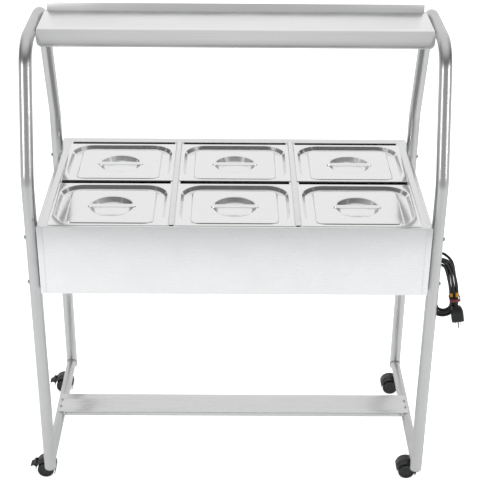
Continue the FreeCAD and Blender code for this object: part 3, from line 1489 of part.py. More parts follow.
def hank_wire():
    """Loops that spiral in over the rear layer, climb, and spiral out over the front layer."""
    pitch = number("hank_pitch")
    rear = number("hank_inset")
    # Quarter turns from the right side: right, bottom, left, top
    steps_in = list(range(CLIMB_QUARTER + 2))
    steps_out = list(range(CLIMB_QUARTER - 2, -1, -1))
    insets = [step * pitch / 4 for step in steps_in + steps_out]
    sides = [(1, 0), (0, -1), (-1, 0), (0, 1)]
    ways = [(0, -1), (-1, 0), (0, 1), (1, 0)]
    stops = []
    for quarter, inset in enumerate(insets):
        u, v = sides[quarter % 4]
        width = number("hank_half_width") - inset
        length = number("hank_half_length") - inset
        y = rear if quarter <= CLIMB_QUARTER else rear - pitch
        stops.append((hank_point(u * width, v * length, y), hank_way(*ways[quarter % 4]), width))
    first = stops[0][0] - stops[0][1] * number("cord_diameter")
    edges = [Part.LineSegment(first, stops[0][0]).toShape()]
    for quarter, (one, other) in enumerate(zip(stops, stops[1:])):
        if quarter % 2:
            edges += biarc(one[0], one[1], other[0], other[1], END_SHARE * other[2], None)
        else:
            edges += biarc(one[0], one[1], other[0], other[1], None, END_SHARE * one[2])
    return first, stops[0][1], edges, stops[-1][0]


def tail_points(start):
    front = number("hank_inset") - number("hank_pitch")
    points = [start]
    for across, along, forward in TAIL_ROUTE:
        points.append(hank_point(number("hank_half_width") + across, along, front + forward))
    return points


def cord_pieces():
    radius = number("cord_diameter") / 2
    start, way, edges, last = hank_wire()
    tail = tail_points(last)
    edges += bent_edges(tail, "cord tail")
    wire = Part.Wire(edges)
    round_tube("power_cord_hank", wire, start, way, radius)
    gland_x = number(GLAND_END)
    gland_y, gland_z = number("gland_inset"), number("gland_height")
    lead = [FreeCAD.Vector(gland_x, gland_y, gland_z)]
    for across, back, up in LEAD_ROUTE:
        lead.append(FreeCAD.Vector(gland_x + across, gland_y + back, gland_z + up))
    lead.append(start - way * LEAD_LAST_RUN)
    lead.append(start)
    lead_wire = Part.Wire(bent_edges(lead, "cord lead"))
    round_tube("power_cord_lead", lead_wire, lead[0], FreeCAD.Vector(1, 0, 0), radius)
    print("cord length", round(wire.Length + lead_wire.Length))
    print_gaps(wire, lead_wire, radius)
    return tail[-1], (tail[-1] - tail[-2]).normalize()


def print_gaps(hank_line, lead_line, radius):
    """Print the least gap between the hank's own turns, and between them and the lead."""
    points = hank_line.discretize(Distance=radius)
    lead = lead_line.discretize(Distance=radius)
    own = min(
        one.distanceToPoint(other)
        for index, one in enumerate(points)
        for other in points[index + NEIGHBOUR_SAMPLES:]
    )
    between = min(
        one.distanceToPoint(other)
        for one in lead[:-NEIGHBOUR_SAMPLES]
        for other in points[NEIGHBOUR_SAMPLES:]
    )
    print("hank least gap to itself", round(own - 2 * radius, 2))
    print("hank least gap to the lead", round(between - 2 * radius, 2))


def cord_tie():
    """A flat band round the hank's right strands, in the hank's own tilt."""
    tie = new_body("cord_tie", "hank_x", "0", "hank_height")
    tie.Placement.Rotation = FreeCAD.Rotation(FreeCAD.Vector(0, 1, 0), -number("hank_tilt"))
    tie.setExpression("Placement.Rotation.Angle", bound("hank_tilt"))
    tie.setExpression("Placement.Rotation.Axis.y", "-1")
    radius = "(cord_diameter / 2 + tie_clearance)"
    left = "(hank_half_width - 2 * hank_pitch - %s - 2 * tie_clearance)" % radius
    right = "(hank_half_width + %s)" % radius
    rear = "(hank_inset + %s)" % radius
    front = "(hank_inset - hank_pitch - %s - tie_slack)" % radius
    band = rectangle(
        left + " - tie_wall", right + " + tie_wall", front + " - tie_wall", rear + " + tie_wall", "tie_corner"
    )
    hole = rectangle(left, right, front, rear, "tie_corner - tie_wall")
    extrude(tie, "Band", "XY", "tie_along - tie_height / 2", "tie_along + tie_height / 2", band, hole)
    return tie


def mains_plug(start, way):
    """A moulded plug: tapered neck, flattened body, two blades and a ground pin."""
    plug = new_body("power_plug")
    neck = "plug_neck_length"
    end = "(plug_neck_length + plug_body_length)"
    thin = circle("0", "0", "plug_neck_radius - plug_neck_taper")
    thick = circle("0", "0", "plug_neck_radius + plug_neck_taper")
    loft(plug, "Neck", "Additive", "0", thin, neck, thick)
    wide = "(plug_width / 2 - plug_shoulder_inset)"
    deep = "(plug_thickness / 2 - plug_shoulder_inset)"
    shoulder = rectangle("-" + wide, wide, "-" + deep, deep, "plug_corner")
    face = rectangle(
        "-plug_width / 2", "plug_width / 2", "-plug_thickness / 2", "plug_thickness / 2", "plug_corner"
    )
    loft(plug, "Shoulder", "Additive", neck, shoulder, neck + " + plug_shoulder_length", face)
    extrude(plug, "Body", "XY", neck + " + plug_shoulder_length", end, face)
    blades = []
    for side in ("", "-"):
        middle = side + "blade_pitch / 2"
        blades.append(rectangle(
            middle + " - blade_sheet / 2", middle + " + blade_sheet / 2",
            "-blade_width / 2 - blade_offset", "blade_width / 2 - blade_offset"
        ))
    extrude(plug, "Blades", "XY", end, end + " + blade_length", *blades)
    ground = circle("0", "ground_offset", "ground_radius")
    extrude(plug, "GroundPin", "XY", end, end + " + ground_length", ground)
    turned = FreeCAD.Rotation(hank_way(1, 0), FreeCAD.Vector(), way, "ZXY")
    shift = FreeCAD.Vector(number(SHIFT_X), number(SHIFT_Y), 0)
    for path in ("x", "y", "z"):
        plug.setExpression("Placement.Base." + path, None)
    plug.Placement = FreeCAD.Placement(start + shift, turned)
    return plug


# The whole counter
COLUMNS = {"left": "-column_pitch", "middle": "0", "right": "column_pitch"}
ROWS = {"front": "front_row_y", "rear": "(front_row_y + row_pitch)"}

frame_tube("left_frame_tube", "-")
frame_tube("right_frame_tube", "")
lower_rail("left_lower_rail", "-")
lower_rail("right_lower_rail", "")
leg_end_plugs()
frame_bolts()
bottom_stretcher()
top_shelf()
frame_screws()
well_rim()
cross_panel("front_panel", "0", "+")
side_panel("left_side_panel", "-")
side_panel("right_side_panel", "")
rear_panel()
bottom_panel()
divider_bar("left_divider_bar", "-")
divider_bar("right_divider_bar", "")
cross_bars()
water_tank()
heating_element()
for row_name, row_y in ROWS.items():
    for column_name, column_x in COLUMNS.items():
        spot = "%s_%s" % (row_name, column_name)
        pan("pan_" + spot, column_x, row_y)
        lid("lid_" + spot, column_x, row_y)
        lid_handle("lid_handle_" + spot, column_x, row_y)
thermostat_body()
thermostat_knob()
switch_housing()
switch_rocker()
drain_valve_body()
drain_valve_lever()
caster_stems()
for row_name, caster_y in (("front", "caster_front_inset"), ("rear", "caster_rear_y")):
    for side_name, caster_x in (("left", "-" + FRAME_X), ("right", FRAME_X)):
        spot = "%s_%s" % (row_name, side_name)
        caster_hood("caster_hood_" + spot, caster_x, caster_y, side_name == "left")
        caster_wheels("caster_wheels_" + spot, caster_x, caster_y)
        if side_name == "left":
            brake_lever("brake_lever_" + spot, caster_x, caster_y)
cord_gland()
cord_tie()
plug_start, plug_way = cord_pieces()
mains_plug(plug_start, plug_way)
doc.recompute()

# Every object must be up to date, every cut must take something away, and each piece must be sound
TAKING = ("PartDesign::Pocket", "PartDesign::Groove", "PartDesign::SubtractiveLoft")
PIECES = ("PartDesign::Body", "Part::Feature")
for item in doc.Objects:
    if "Invalid" in item.State or "Error" in item.State:
        raise RuntimeError("%s failed: %s" % (item.Label, item.State))
    if item.TypeId in TAKING and not item.Shape.Volume < item.BaseFeature.Shape.Volume:
        raise RuntimeError("%s takes nothing away" % item.Name)
for item in doc.Objects:
    if item.TypeId not in PIECES:
        continue
    if item.Shape.isNull() or not item.Shape.isValid():
        raise RuntimeError("%s has no sound shape" % item.Label)
    item.Shape.exportStep(os.path.join("parts", item.Label + ".step"))
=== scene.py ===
import math

import bmesh
import bpy
from mathutils import Matrix, Vector


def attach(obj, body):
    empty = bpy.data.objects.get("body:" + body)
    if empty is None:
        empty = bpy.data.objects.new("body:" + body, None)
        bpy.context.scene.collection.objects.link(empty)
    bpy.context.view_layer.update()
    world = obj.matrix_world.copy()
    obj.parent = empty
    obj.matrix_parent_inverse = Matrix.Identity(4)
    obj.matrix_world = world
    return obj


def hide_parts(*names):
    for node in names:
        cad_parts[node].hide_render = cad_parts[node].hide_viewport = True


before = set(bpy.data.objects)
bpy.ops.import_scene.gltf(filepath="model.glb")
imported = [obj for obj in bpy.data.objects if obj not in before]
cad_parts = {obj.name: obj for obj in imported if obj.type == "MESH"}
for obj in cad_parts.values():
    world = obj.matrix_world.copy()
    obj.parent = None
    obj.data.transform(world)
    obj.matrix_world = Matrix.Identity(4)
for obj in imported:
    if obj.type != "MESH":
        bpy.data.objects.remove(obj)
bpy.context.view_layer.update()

# Side frames: each is one stainless tube, 35 mm across, bent four times on a mandrel so that it is
# both legs and the top bar of its side. It is belt-polished along its length to a satin finish.
TO_MIDDLE = Vector((23.25, -313.5, 0))
FRAME_X = 553.5
FRONT_LEG, REAR_LEG = 36, 592
LEG_END = 66
BAR_HEIGHT = 1360
TUBE_RADIUS, BEND_RADIUS = 17.5, 92
SIDES = (("left", -1), ("right", 1))
up, rearward, outward = Vector((0, 0, 1)), Vector((0, 1, 0)), Vector((1, 0, 0))


def at(x, y, z):
    """A point in metres, from millimetres off the casing's middle, its front face and the floor."""
    return (Vector((x, y, z)) + TO_MIDDLE) / 1000


def linear(code):
    """An sRGB hex colour as linear red, green, blue and alpha."""
    parts = [int(code[start:start + 2], 16) / 255 for start in (1, 3, 5)]
    return [part / 12.92 if part < 0.04045 else ((part + 0.055) / 1.055) ** 2.4 for part in parts] + [1]


def add(tree, kind, links=None, **settings):
    """A new node's first output. A link is a socket's value, or the socket that it comes from."""
    new = tree.nodes.new(kind)
    for key, value in settings.items():
        setattr(new, key, value)
    for key, value in (links or {}).items():
        if isinstance(value, bpy.types.NodeSocket):
            tree.links.new(value, new.inputs[key])
        else:
            new.inputs[key].default_value = value
    return new.outputs[0] if new.outputs else None


def reckon(tree, operation, *values):
    return add(tree, "ShaderNodeMath", dict(enumerate(values)), operation=operation)


def ranged(tree, value, low, high, start=0.0, end=1.0):
    """A value between start and end, brought between low and high."""
    return add(tree, "ShaderNodeMapRange", {
        "Value": value, "From Min": start, "From Max": end, "To Min": low, "To Max": high})


def place(tree):
    return add(tree, "ShaderNodeTexCoord").node.outputs["Object"]


def grain(tree, size, detail=2, low=0.0, high=1.0, source=None):
    """Noise of a size in metres, for all axes or for each, stretched to run from low to high."""
    parts = size if isinstance(size, tuple) else (size,) * 3
    scale = add(tree, "ShaderNodeMapping", {
        "Vector": source or place(tree), "Scale": [1 / part for part in parts]})
    noise = add(tree, "ShaderNodeTexNoise", {"Vector": scale, "Scale": 1, "Detail": detail})
    return ranged(tree, noise, low, high, 0.3, 0.7)


def tinted(tree, dark, light, factor):
    """A colour between two hex colours."""
    mix = add(tree, "ShaderNodeMix", {"Factor": factor, 6: linear(dark), 7: linear(light)}, data_type="RGBA")
    return mix.node.outputs[2]


def bump(tree, height, depth, strength):
    """Relief of the given depth in metres."""
    return add(tree, "ShaderNodeBump", {"Height": height, "Distance": depth, "Strength": strength})


def finish(name, shader, *given, **values):
    """A material: a Principled shader with what a function gives its sockets, and these values."""
    material = bpy.data.materials.new(name)
    material.use_nodes = True
    tree = material.node_tree
    tree.nodes.clear()
    coat = add(tree, "ShaderNodeBsdfPrincipled", {**shader(tree, *given), **values})
    add(tree, "ShaderNodeOutputMaterial", {"Surface": coat})
    return material


def satin_tube(tree):
    """Satin stainless: polishing lines, 1.5 mm apart so that they show, run along the tube."""
    lines = grain(tree, (0.0015, 0.18, 1), 3, source=add(tree, "ShaderNodeUVMap", uv_map="UVMap"))
    smudge = grain(tree, (0.05, 0.05, 0.09), 3, -0.04, 0.06)
    return {
        "Base Color": tinted(tree, "#b8b9b9", "#cccccb", lines),
        "Roughness": reckon(tree, "ADD", ranged(tree, lines, 0.27, 0.36), smudge),
        "Normal": bump(tree, lines, 0.00004, 0.5),
    }


satin_tube_steel = finish("satin stainless tube", satin_tube, Metallic=1)


def rounded(corners, radius, steps=14):
    """Points of straight runs with round bends, each with its direction."""
    path = [(corners[0], (corners[1] - corners[0]).normalized())]
    for before, corner, after in zip(corners, corners[1:], corners[2:]):
        way_in = (corner - before).normalized()
        way_out = (after - corner).normalized()
        turn = way_in.angle(way_out)
        start = corner - way_in * radius * math.tan(turn / 2)
        inward = (way_out - way_in * way_in.dot(way_out)).normalized()
        for step in range(steps + 1):
            angle = turn * step / steps
            spot = start + way_in * radius * math.sin(angle) + inward * radius * (1 - math.cos(angle))
            path.append((spot, way_in * math.cos(angle) + inward * math.sin(angle)))
    path.append((corners[-1], (corners[-1] - corners[-2]).normalized()))
    return path


def placed(name, data):
    """A scene object of this data."""
    piece = bpy.data.objects.new(name, data)
    bpy.context.scene.collection.objects.link(piece)
    return piece


def bare_object(name, bm):
    """A mesh object from bmesh, as it is."""
    mesh = bpy.data.meshes.new(name)
    bm.to_mesh(mesh)
    bm.free()
    return placed(name, mesh)


def smoothed(piece, sharp):
    """Shade a piece smooth, but for its edges past an angle in degrees."""
    piece.data.shade_smooth()
    piece.data.set_sharp_from_angle(angle=math.radians(sharp))
    return piece


def as_object(name, bm, sharp=35, merge=0.000001):
    """A smooth mesh object from bmesh, with its doubles merged and even normals."""
    bmesh.ops.remove_doubles(bm, verts=bm.verts, dist=merge)
    bmesh.ops.recalc_face_normals(bm, faces=bm.faces)
    return smoothed(bare_object(name, bm), sharp)


def capped(bm, rings):
    bm.faces.new(rings[0][::-1])
    bm.faces.new(rings[-1])


def swept(bm, path, side, radius, sides=48):
    """Rings of a tube along a path, with a UV in metres round it and along it."""
    layer = bm.loops.layers.uv.verify()
    rings = []
    run = []
    for index, (spot, way) in enumerate(path):
        run.append(run[-1] + (spot - path[index - 1][0]).length if index else 0.0)
        out = way.cross(side).normalized()
        angles = [math.tau * step / sides for step in range(sides)]
        rings.append([bm.verts.new(spot + (side * math.cos(a) + out * math.sin(a)) * radius) for a in angles])
    for index in range(len(rings) - 1):
        for step in range(sides):
            corners = [(index, step), (index, step + 1), (index + 1, step + 1), (index + 1, step)]
            face = bm.faces.new([rings[row][column % sides] for row, column in corners])
            for loop, (row, column) in zip(face.loops, corners):
                loop[layer].uv = (column / sides * math.tau * radius, run[row])
    capped(bm, rings)
    return rings


def dress(piece, body, slot, material=None, *nodes):
    """Give a piece its material and body, and hide the nodes that it stands for; its slot is not used."""
    if material:
        piece.data.materials.clear()
        piece.data.materials.append(material)
    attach(piece, body)
    if nodes:
        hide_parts(*nodes)


for side, sign in SIDES:
    corners = [at(sign * FRAME_X, y, z) for y, z in (
        (FRONT_LEG, LEG_END), (FRONT_LEG, 1018), (160.5, BAR_HEIGHT), (471.8, BAR_HEIGHT), (REAR_LEG, 990),
        (REAR_LEG, LEG_END)
    )]
    bm = bmesh.new()
    swept(bm, rounded(corners, BEND_RADIUS / 1000), outward, TUBE_RADIUS / 1000)
    tube = as_object(side + "_side_tube", bm)
    dress(tube, "counter", "stainless_tube", satin_tube_steel, side + "_frame_tube")

# Lower rails: a 30 mm tube between the legs of each side, coped to the legs and welded all round
# with a rippled bead, which the maker leaves as it cools.
RAIL_RADIUS = 15
RAIL_HEIGHT = 80
BEAD_RIPPLES = 44


def geometry_tree(name, sizes):
    """A Geometry Nodes tree that takes points and these named sizes, and its input sockets."""
    tree = bpy.data.node_groups.new(name, "GeometryNodeTree")
    tree.interface.new_socket("Geometry", in_out="INPUT", socket_type="NodeSocketGeometry")
    for label, value in sizes.items():
        tree.interface.new_socket(label, in_out="INPUT", socket_type="NodeSocketFloat").default_value = value
    tree.interface.new_socket("Geometry", in_out="OUTPUT", socket_type="NodeSocketGeometry")
    return tree, tree.nodes.new("NodeGroupInput").outputs


def vector(tree, x, y, z):
    return add(tree, "ShaderNodeCombineXYZ", {"X": x, "Y": y, "Z": z})


def stand_copies(tree, given, shape, material):
    """Stand a shape on every point, with its Z along the point's way, as real geometry."""
    way = add(tree, "GeometryNodeInputNamedAttribute", {"Name": "way"}, data_type="FLOAT_VECTOR")
    copies = add(tree, "GeometryNodeInstanceOnPoints", {
        "Points": given["Geometry"], "Instance": shape,
        "Rotation": add(tree, "FunctionNodeAlignRotationToVector", {"Vector": way}, axis="Z")})
    real = add(tree, "GeometryNodeRealizeInstances", {"Geometry": copies})
    add(tree, "NodeGroupOutput", {
        "Geometry": add(tree, "GeometryNodeSetMaterial", {"Geometry": real, "Material": material})})


def evaluated(piece):
    return bpy.data.meshes.new_from_object(piece.evaluated_get(bpy.context.evaluated_depsgraph_get()))


def baked(piece, sharp=35):
    """A piece whose own mesh is what its modifiers made."""
    made = evaluated(piece)
    piece.modifiers.clear()
    piece.data = made
    made.name = piece.name
    return smoothed(piece, sharp)


def grow(name, tree, spots, ways):
    """A plain mesh object that a tree grows on spots, each with the way that its copy faces."""
    mesh = bpy.data.meshes.new(name)
    mesh.from_pydata(spots, [], [])
    facing = mesh.attributes.new("way", "FLOAT_VECTOR", "POINT")
    facing.data.foreach_set("vector", [part for way in ways for part in way])
    piece = placed(name, mesh)
    piece.modifiers.new(name, "NODES").node_group = tree
    piece.update_tag()
    return baked(piece)


def mottled(tree, dark, light, size, rough, detail=3, relief=None):
    """A colour that drifts between two, its roughness, and relief as (size, depth, strength, detail)."""
    cloud = grain(tree, size, detail)
    values = {"Base Color": tinted(tree, dark, light, cloud), "Roughness": rough}
    if isinstance(rough, tuple):
        values["Roughness"] = ranged(tree, cloud, *rough)
    if relief:
        size, depth, strength, detail = relief
        values["Normal"] = bump(tree, grain(tree, size, detail), depth, strength)
    return values


# As-laid stainless weld: straw to grey heat colour in patches, duller than the tube
weld_bead_steel = finish("as-laid stainless weld", mottled, "#77716a", "#a9a69f", 0.004, 0.38, 2, Metallic=1)
bead_tree, given = geometry_tree("weld ripples", {"Ripple radius": 0.0026, "Ripple height": 0.6})
ripple = add(bead_tree, "GeometryNodeMeshUVSphere", {
    "Segments": 10, "Rings": 6, "Radius": given["Ripple radius"]})
flat_ripple = add(bead_tree, "GeometryNodeTransform", {
    "Geometry": ripple, "Scale": vector(bead_tree, 1, 1, given["Ripple height"])})
stand_copies(bead_tree, given, flat_ripple, weld_bead_steel)

for side, sign in SIDES:
    bm = bmesh.new()
    rings = swept(bm, [(at(sign * FRAME_X, y, RAIL_HEIGHT), rearward) for y in (60, 160, 314, 468, 568)],
                  outward, RAIL_RADIUS / 1000)
    spots, ways = [], []
    for ring, leg, inward in ((rings[0], FRONT_LEG, 1), (rings[-1], REAR_LEG, -1)):
        for vert in ring:
            off = vert.co.x - at(sign * FRAME_X, 0, 0).x
            saddle = math.sqrt((TUBE_RADIUS / 1000) ** 2 - off ** 2)
            vert.co.y = at(0, leg, 0).y + inward * (saddle - 0.0005)
        for step in range(BEAD_RIPPLES):
            angle = math.tau * step / BEAD_RIPPLES
            off, rise = RAIL_RADIUS * math.cos(angle), RAIL_RADIUS * math.sin(angle)
            saddle = math.sqrt(TUBE_RADIUS ** 2 - off ** 2)
            spots.append(at(sign * FRAME_X + off, leg + inward * saddle, RAIL_HEIGHT + rise))
            ways.append(Vector((math.cos(angle), inward, math.sin(angle))).normalized())
    rail = as_object(side + "_coped_rail", bm)
    dress(rail, "counter", "stainless_tube", satin_tube_steel, side + "_lower_rail")
    dress(grow(side + "_rail_welds", bead_tree, spots, ways), "counter", "stainless_tube")

# Leg plugs: pale grey polyethylene caps pushed into the open tube ends. Each has a lip that the cut
# edge rests on and is faintly domed below, as injection moulding leaves it.


def moulded(tree, dark, light, spark):
    """Moulded plastic: a fine spark-eroded grain, drawn 0.4 mm so that it shows, and faint flow tone."""
    return mottled(tree, dark, light, 0.02, (spark - 0.05, spark + 0.07), relief=(0.0004, 0.00003, 0.6, 2))


pale_polyethylene = finish("pale grey polyethylene", moulded, "#b9bab8", "#cbccca", 0.48, IOR=1.51)


def eased(rows, reach, steps=5):
    """Rows of numbers with each inner corner rounded over its reach, in the rows' own unit."""
    soft = [rows[0]]
    for before, corner, after, near in zip(rows, rows[1:], rows[2:], reach):
        if not near:
            soft.append(corner)
            continue
        start, end = [], []
        for other, into in ((before, start), (after, end)):
            share = min(near / math.dist(corner, other), 0.48)
            into.extend(c + (o - c) * share for c, o in zip(corner, other))
        for step in range(steps + 1):
            t = step / steps
            soft.append(tuple(
                s * (1 - t) ** 2 + 2 * c * t * (1 - t) + e * t * t for s, c, e in zip(start, corner, end)
            ))
    soft.append(rows[-1])
    return soft


def bridged(bm, rings, closed=False):
    """Faces from ring to ring, where a ring may be one point, and back to the first one if closed."""
    for one, other in zip(rings, rings[1:] + (rings[:1] if closed else [])):
        count = max(len(one), len(other))
        for step in range(count):
            nxt = (step + 1) % count
            corners = dict.fromkeys((one[step % len(one)], one[nxt % len(one)],
                                     other[nxt % len(other)], other[step % len(other)]))
            if len(corners) > 2:
                bm.faces.new(list(corners))


def turned(bm, profile, centre, axis, sides=48, shape=None):
    """A turned form: (radius, height) rows in millimetres round an axis, which a shape may cut into."""
    across = outward if abs(axis.x) < 0.5 else rearward
    over = axis.cross(across).normalized()
    across = over.cross(axis).normalized()
    rings = []
    for radius, height in profile:
        spot = centre + axis * height / 1000
        if radius < 0.001:
            rings.append([bm.verts.new(spot)])
            continue
        ring = []
        for step in range(sides):
            angle = math.tau * step / sides
            reach = (shape(angle, radius, height) if shape else radius) / 1000
            ring.append(bm.verts.new(spot + (across * math.cos(angle) + over * math.sin(angle)) * reach))
        rings.append(ring)
    bridged(bm, rings)


bm = bmesh.new()
leg_cap = eased([(0, 60), (13, 60), (17.3, 62.5), (17.5, 66), (15.9, 66), (15.8, 80), (0, 80)],
                (2.5, 1.4, 0.5, 0.2, 0.6), 4)
for x in (-FRAME_X, FRAME_X):
    for y in (FRONT_LEG, REAR_LEG):
        turned(bm, leg_cap, at(x, y, 0), up)
dress(as_object("leg_caps", bm), "counter", "light_plastic", pale_polyethylene, "leg_end_plugs")

# Bottom stretcher: a 1.5 mm stainless channel folded on a press brake, laid across the lower rails.
# Its sheet is brushed along its length, and its cut edges are broken so that they catch the light.


def satin_sheet(tree, lines, dark="#cbcccc", light="#d8d8d7", low=0.24, high=0.34, depth=0.00001):
    """Brushed stainless sheet: grit lines, drawn about 1.5 mm wide to show, and faint handling marks."""
    brushed = grain(tree, lines, 3)
    fine = grain(tree, tuple(part / 2.5 for part in lines))
    marks = grain(tree, (0.11, 0.08, 0.1), 4, -0.03, 0.05)
    return {
        "Base Color": tinted(tree, dark, light, brushed),
        "Roughness": reckon(tree, "ADD", ranged(tree, brushed, low, high), marks),
        "Normal": bump(tree, reckon(tree, "ADD", brushed, fine), depth, 0.4),
    }


def folded_copy(name, *nodes, edge=0.0004, flat=2.0):
    """The nodes' own surfaces joined up, with their flats cleaned and their sharp edges broken."""
    bm = bmesh.new()
    for node in nodes:
        bm.from_mesh(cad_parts[node].data)
    bmesh.ops.remove_doubles(bm, verts=bm.verts, dist=0.000002)
    bmesh.ops.dissolve_limit(bm, angle_limit=math.radians(flat), verts=bm.verts, edges=bm.edges,
                             delimit={"NORMAL"})
    for vert in list(bm.verts):
        if len(vert.link_edges) == 2:
            one, other = (link.other_vert(vert).co - vert.co for link in vert.link_edges)
            if one.angle(other, 0) > math.radians(179.5):
                bmesh.ops.dissolve_verts(bm, verts=[vert])
    sharp = [line for line in bm.edges if line.is_manifold and line.calc_face_angle(0) > math.radians(40)]
    if edge:
        bmesh.ops.bevel(bm, geom=sharp, offset=edge, segments=2, profile=0.6, affect="EDGES",
                        clamp_overlap=True)
    return as_object(name, bm, merge=0.0000001)


LINES_ACROSS = (0.22, 0.0015, 0.0015)
sheet_across = finish("brushed stainless sheet", satin_sheet, LINES_ACROSS, Metallic=1)
stretcher = folded_copy("folded_stretcher", "bottom_stretcher")
dress(stretcher, "counter", "stainless_sheet", sheet_across, "bottom_stretcher")

# Screws of the shelf and the stretcher: zinc-plated pan heads with a cross recess, driven into the
# tubes. The plating is pale and slightly blue, with cloudy passivation.
SCREW_SIDES = 28
zinc_steel = finish("zinc-plated steel", mottled, "#9fa3a8", "#bfc2c4", 0.003, (0.28, 0.42), Metallic=1)
screws, given = geometry_tree("pan head screws", {
    "Head radius": 0.004, "Head height": 0.0024, "Dome share": 0.55,
    "Slot length": 0.0046, "Slot width": 0.0009})
dome_height = reckon(screws, "MULTIPLY", given["Head height"], given["Dome share"])
wall_height = reckon(screws, "SUBTRACT", given["Head height"], dome_height)
wall = add(screws, "GeometryNodeMeshCylinder", {
    "Vertices": SCREW_SIDES, "Radius": given["Head radius"], "Depth": wall_height})
raised_wall = add(screws, "GeometryNodeTransform", {
    "Geometry": wall, "Translation": vector(screws, 0, 0, reckon(screws, "MULTIPLY", wall_height, 0.5))})
ball = add(screws, "GeometryNodeMeshUVSphere", {
    "Segments": SCREW_SIDES, "Rings": SCREW_SIDES // 2, "Radius": given["Head radius"]})
dome = add(screws, "GeometryNodeTransform", {
    "Geometry": ball, "Translation": vector(screws, 0, 0, wall_height),
    "Scale": vector(screws, 1, 1, reckon(screws, "DIVIDE", dome_height, given["Head radius"]))})
solid_head = add(screws, "GeometryNodeMeshBoolean", operation="UNION")
for part in (raised_wall, dome):
    screws.links.new(part, solid_head.node.inputs["Mesh 2"])
cross_recess = add(screws, "GeometryNodeMeshBoolean", {"Mesh 1": solid_head}, operation="DIFFERENCE")
slot_box = vector(screws, given["Slot length"], given["Slot width"], given["Head height"])
for quarter in (0, math.pi / 2):
    cutter = add(screws, "GeometryNodeTransform", {
        "Geometry": add(screws, "GeometryNodeMeshCube", {"Size": slot_box}), "Rotation": (0, 0, quarter),
        "Translation": vector(screws, 0, 0, given["Head height"])})
    screws.links.new(cutter, cross_recess.node.inputs["Mesh 2"])
stand_copies(screws, given, cross_recess, zinc_steel)
spots, ways = [], []
for sign in (-1, 1):
    for y in (305, 340):
        spots.append(at(sign * FRAME_X, y, 96.5))
        ways.append((0, 0, 1))
    for y in (270, 390):
        spots.append(at(sign * 534.2, y, BAR_HEIGHT))
        ways.append((-sign, 0, 0))
dress(grow("pan_head_screws", screws, spots, ways), "counter", "zinc_steel", None, "frame_screws")

# Top shelf: one folded stainless sheet between the top bars. Its front edge slopes down and is
# hemmed, its back edge stands up in a closed hem, and its side flanges screw to the tubes.
SHELF_END, SHEET = 535.7, 1.5
SHELF_TOP = 1370
SHELF_FRONT, SHELF_REAR = 213, 412
LIP_FOOT, CREST = SHELF_TOP - 39, SHELF_TOP + 23
LIP_CORNER = 18

shelf_steel = finish("white-brushed stainless shelf", satin_sheet, LINES_ACROSS, "#e6e7e7", "#efefee",
                     0.28, 0.36, 0.000006, Metallic=1)


def thickened(piece, wall, edge=0.0, sharp=40):
    """Give an open sheet its wall, by millimetres against its normals, and break its edges."""
    wall_maker = piece.modifiers.new("wall", "SOLIDIFY")
    wall_maker.thickness = wall / 1000
    wall_maker.offset = -1
    wall_maker.use_even_offset = True
    if edge:
        broken = piece.modifiers.new("edge", "BEVEL")
        broken.width = edge / 1000
        broken.segments = 2
        broken.limit_method = "ANGLE"
        broken.angle_limit = math.radians(50)
    return baked(piece, sharp)


def open_sheet(name, bm, rows, grid=True):
    """An object of rows of vertices joined up, as a grid or as closed rings, with its normals up."""
    if grid:
        for one, other in zip(rows, rows[1:]):
            for step in range(len(one) - 1):
                bm.faces.new((one[step], other[step], other[step + 1], one[step + 1]))
    else:
        bridged(bm, rows)
        bm.faces.new(rows[-1])
    bmesh.ops.recalc_face_normals(bm, faces=bm.faces)
    if max(bm.faces, key=lambda face: face.calc_area()).normal.z < 0:
        bmesh.ops.reverse_faces(bm, faces=bm.faces)
    return bare_object(name, bm)


fold = eased([(9, 0.3), (0, 0), (2, 3.7)], (1.2,))
fold += [(step, 1.6 + step * 37.4 / 36) for step in range(4, 32, 2)]
fold += eased([(33, 35.9), (36, 39), (60, 39)], (2.4,))
rows = [(SHELF_FRONT + y, LIP_FOOT + z) for y, z in fold]
rows += [(SHELF_REAR + y, SHELF_TOP + z) for y, z in ((-3, 0), (-1.6, 0.4), (-1.2, 1.6))]
rows += [(SHELF_REAR + y, CREST - z) for y, z in (
    (-1.2, 1.6), (-0.7, 0.5), (0.4, 0.1), (1.2, 0.6), (1.5, 1.6), (1.5, 8))]
bm = bmesh.new()
sheet_rows = []
for y, z in rows:
    end = SHELF_END
    if z < LIP_FOOT + LIP_CORNER and y < SHELF_FRONT + 20:
        end -= LIP_CORNER - math.sqrt(max(0, LIP_CORNER ** 2 - (LIP_FOOT + LIP_CORNER - z) ** 2))
    if z > SHELF_TOP + 1:
        end -= 7
    sheet_rows.append([bm.verts.new(at(x, y, z)) for x in (-end, end)])
shelf_sheet = thickened(open_sheet("folded_sheet", bm, sheet_rows), SHEET, 0.35)
bm = bmesh.new()
bm.from_mesh(shelf_sheet.data)
bpy.data.objects.remove(shelf_sheet)
flange = [(245, SHELF_TOP - 2.4), (228.5, 1351), (228, 1348), (231, 1344), (401, 1344), (406, 1349),
          (406, SHELF_TOP - 1.4), (248, SHELF_TOP - 1.4)]
for sign in (-1, 1):
    rings = [[bm.verts.new(at(sign * x, y, z)) for y, z in flange] for x in (SHELF_END, SHELF_END - SHEET)]
    bridged(bm, rings)
    capped(bm, rings)
shelf = as_object("folded_top_shelf", bm, 40, 0.0000001)
dress(shelf, "counter", "stainless_sheet", shelf_steel, "top_shelf")

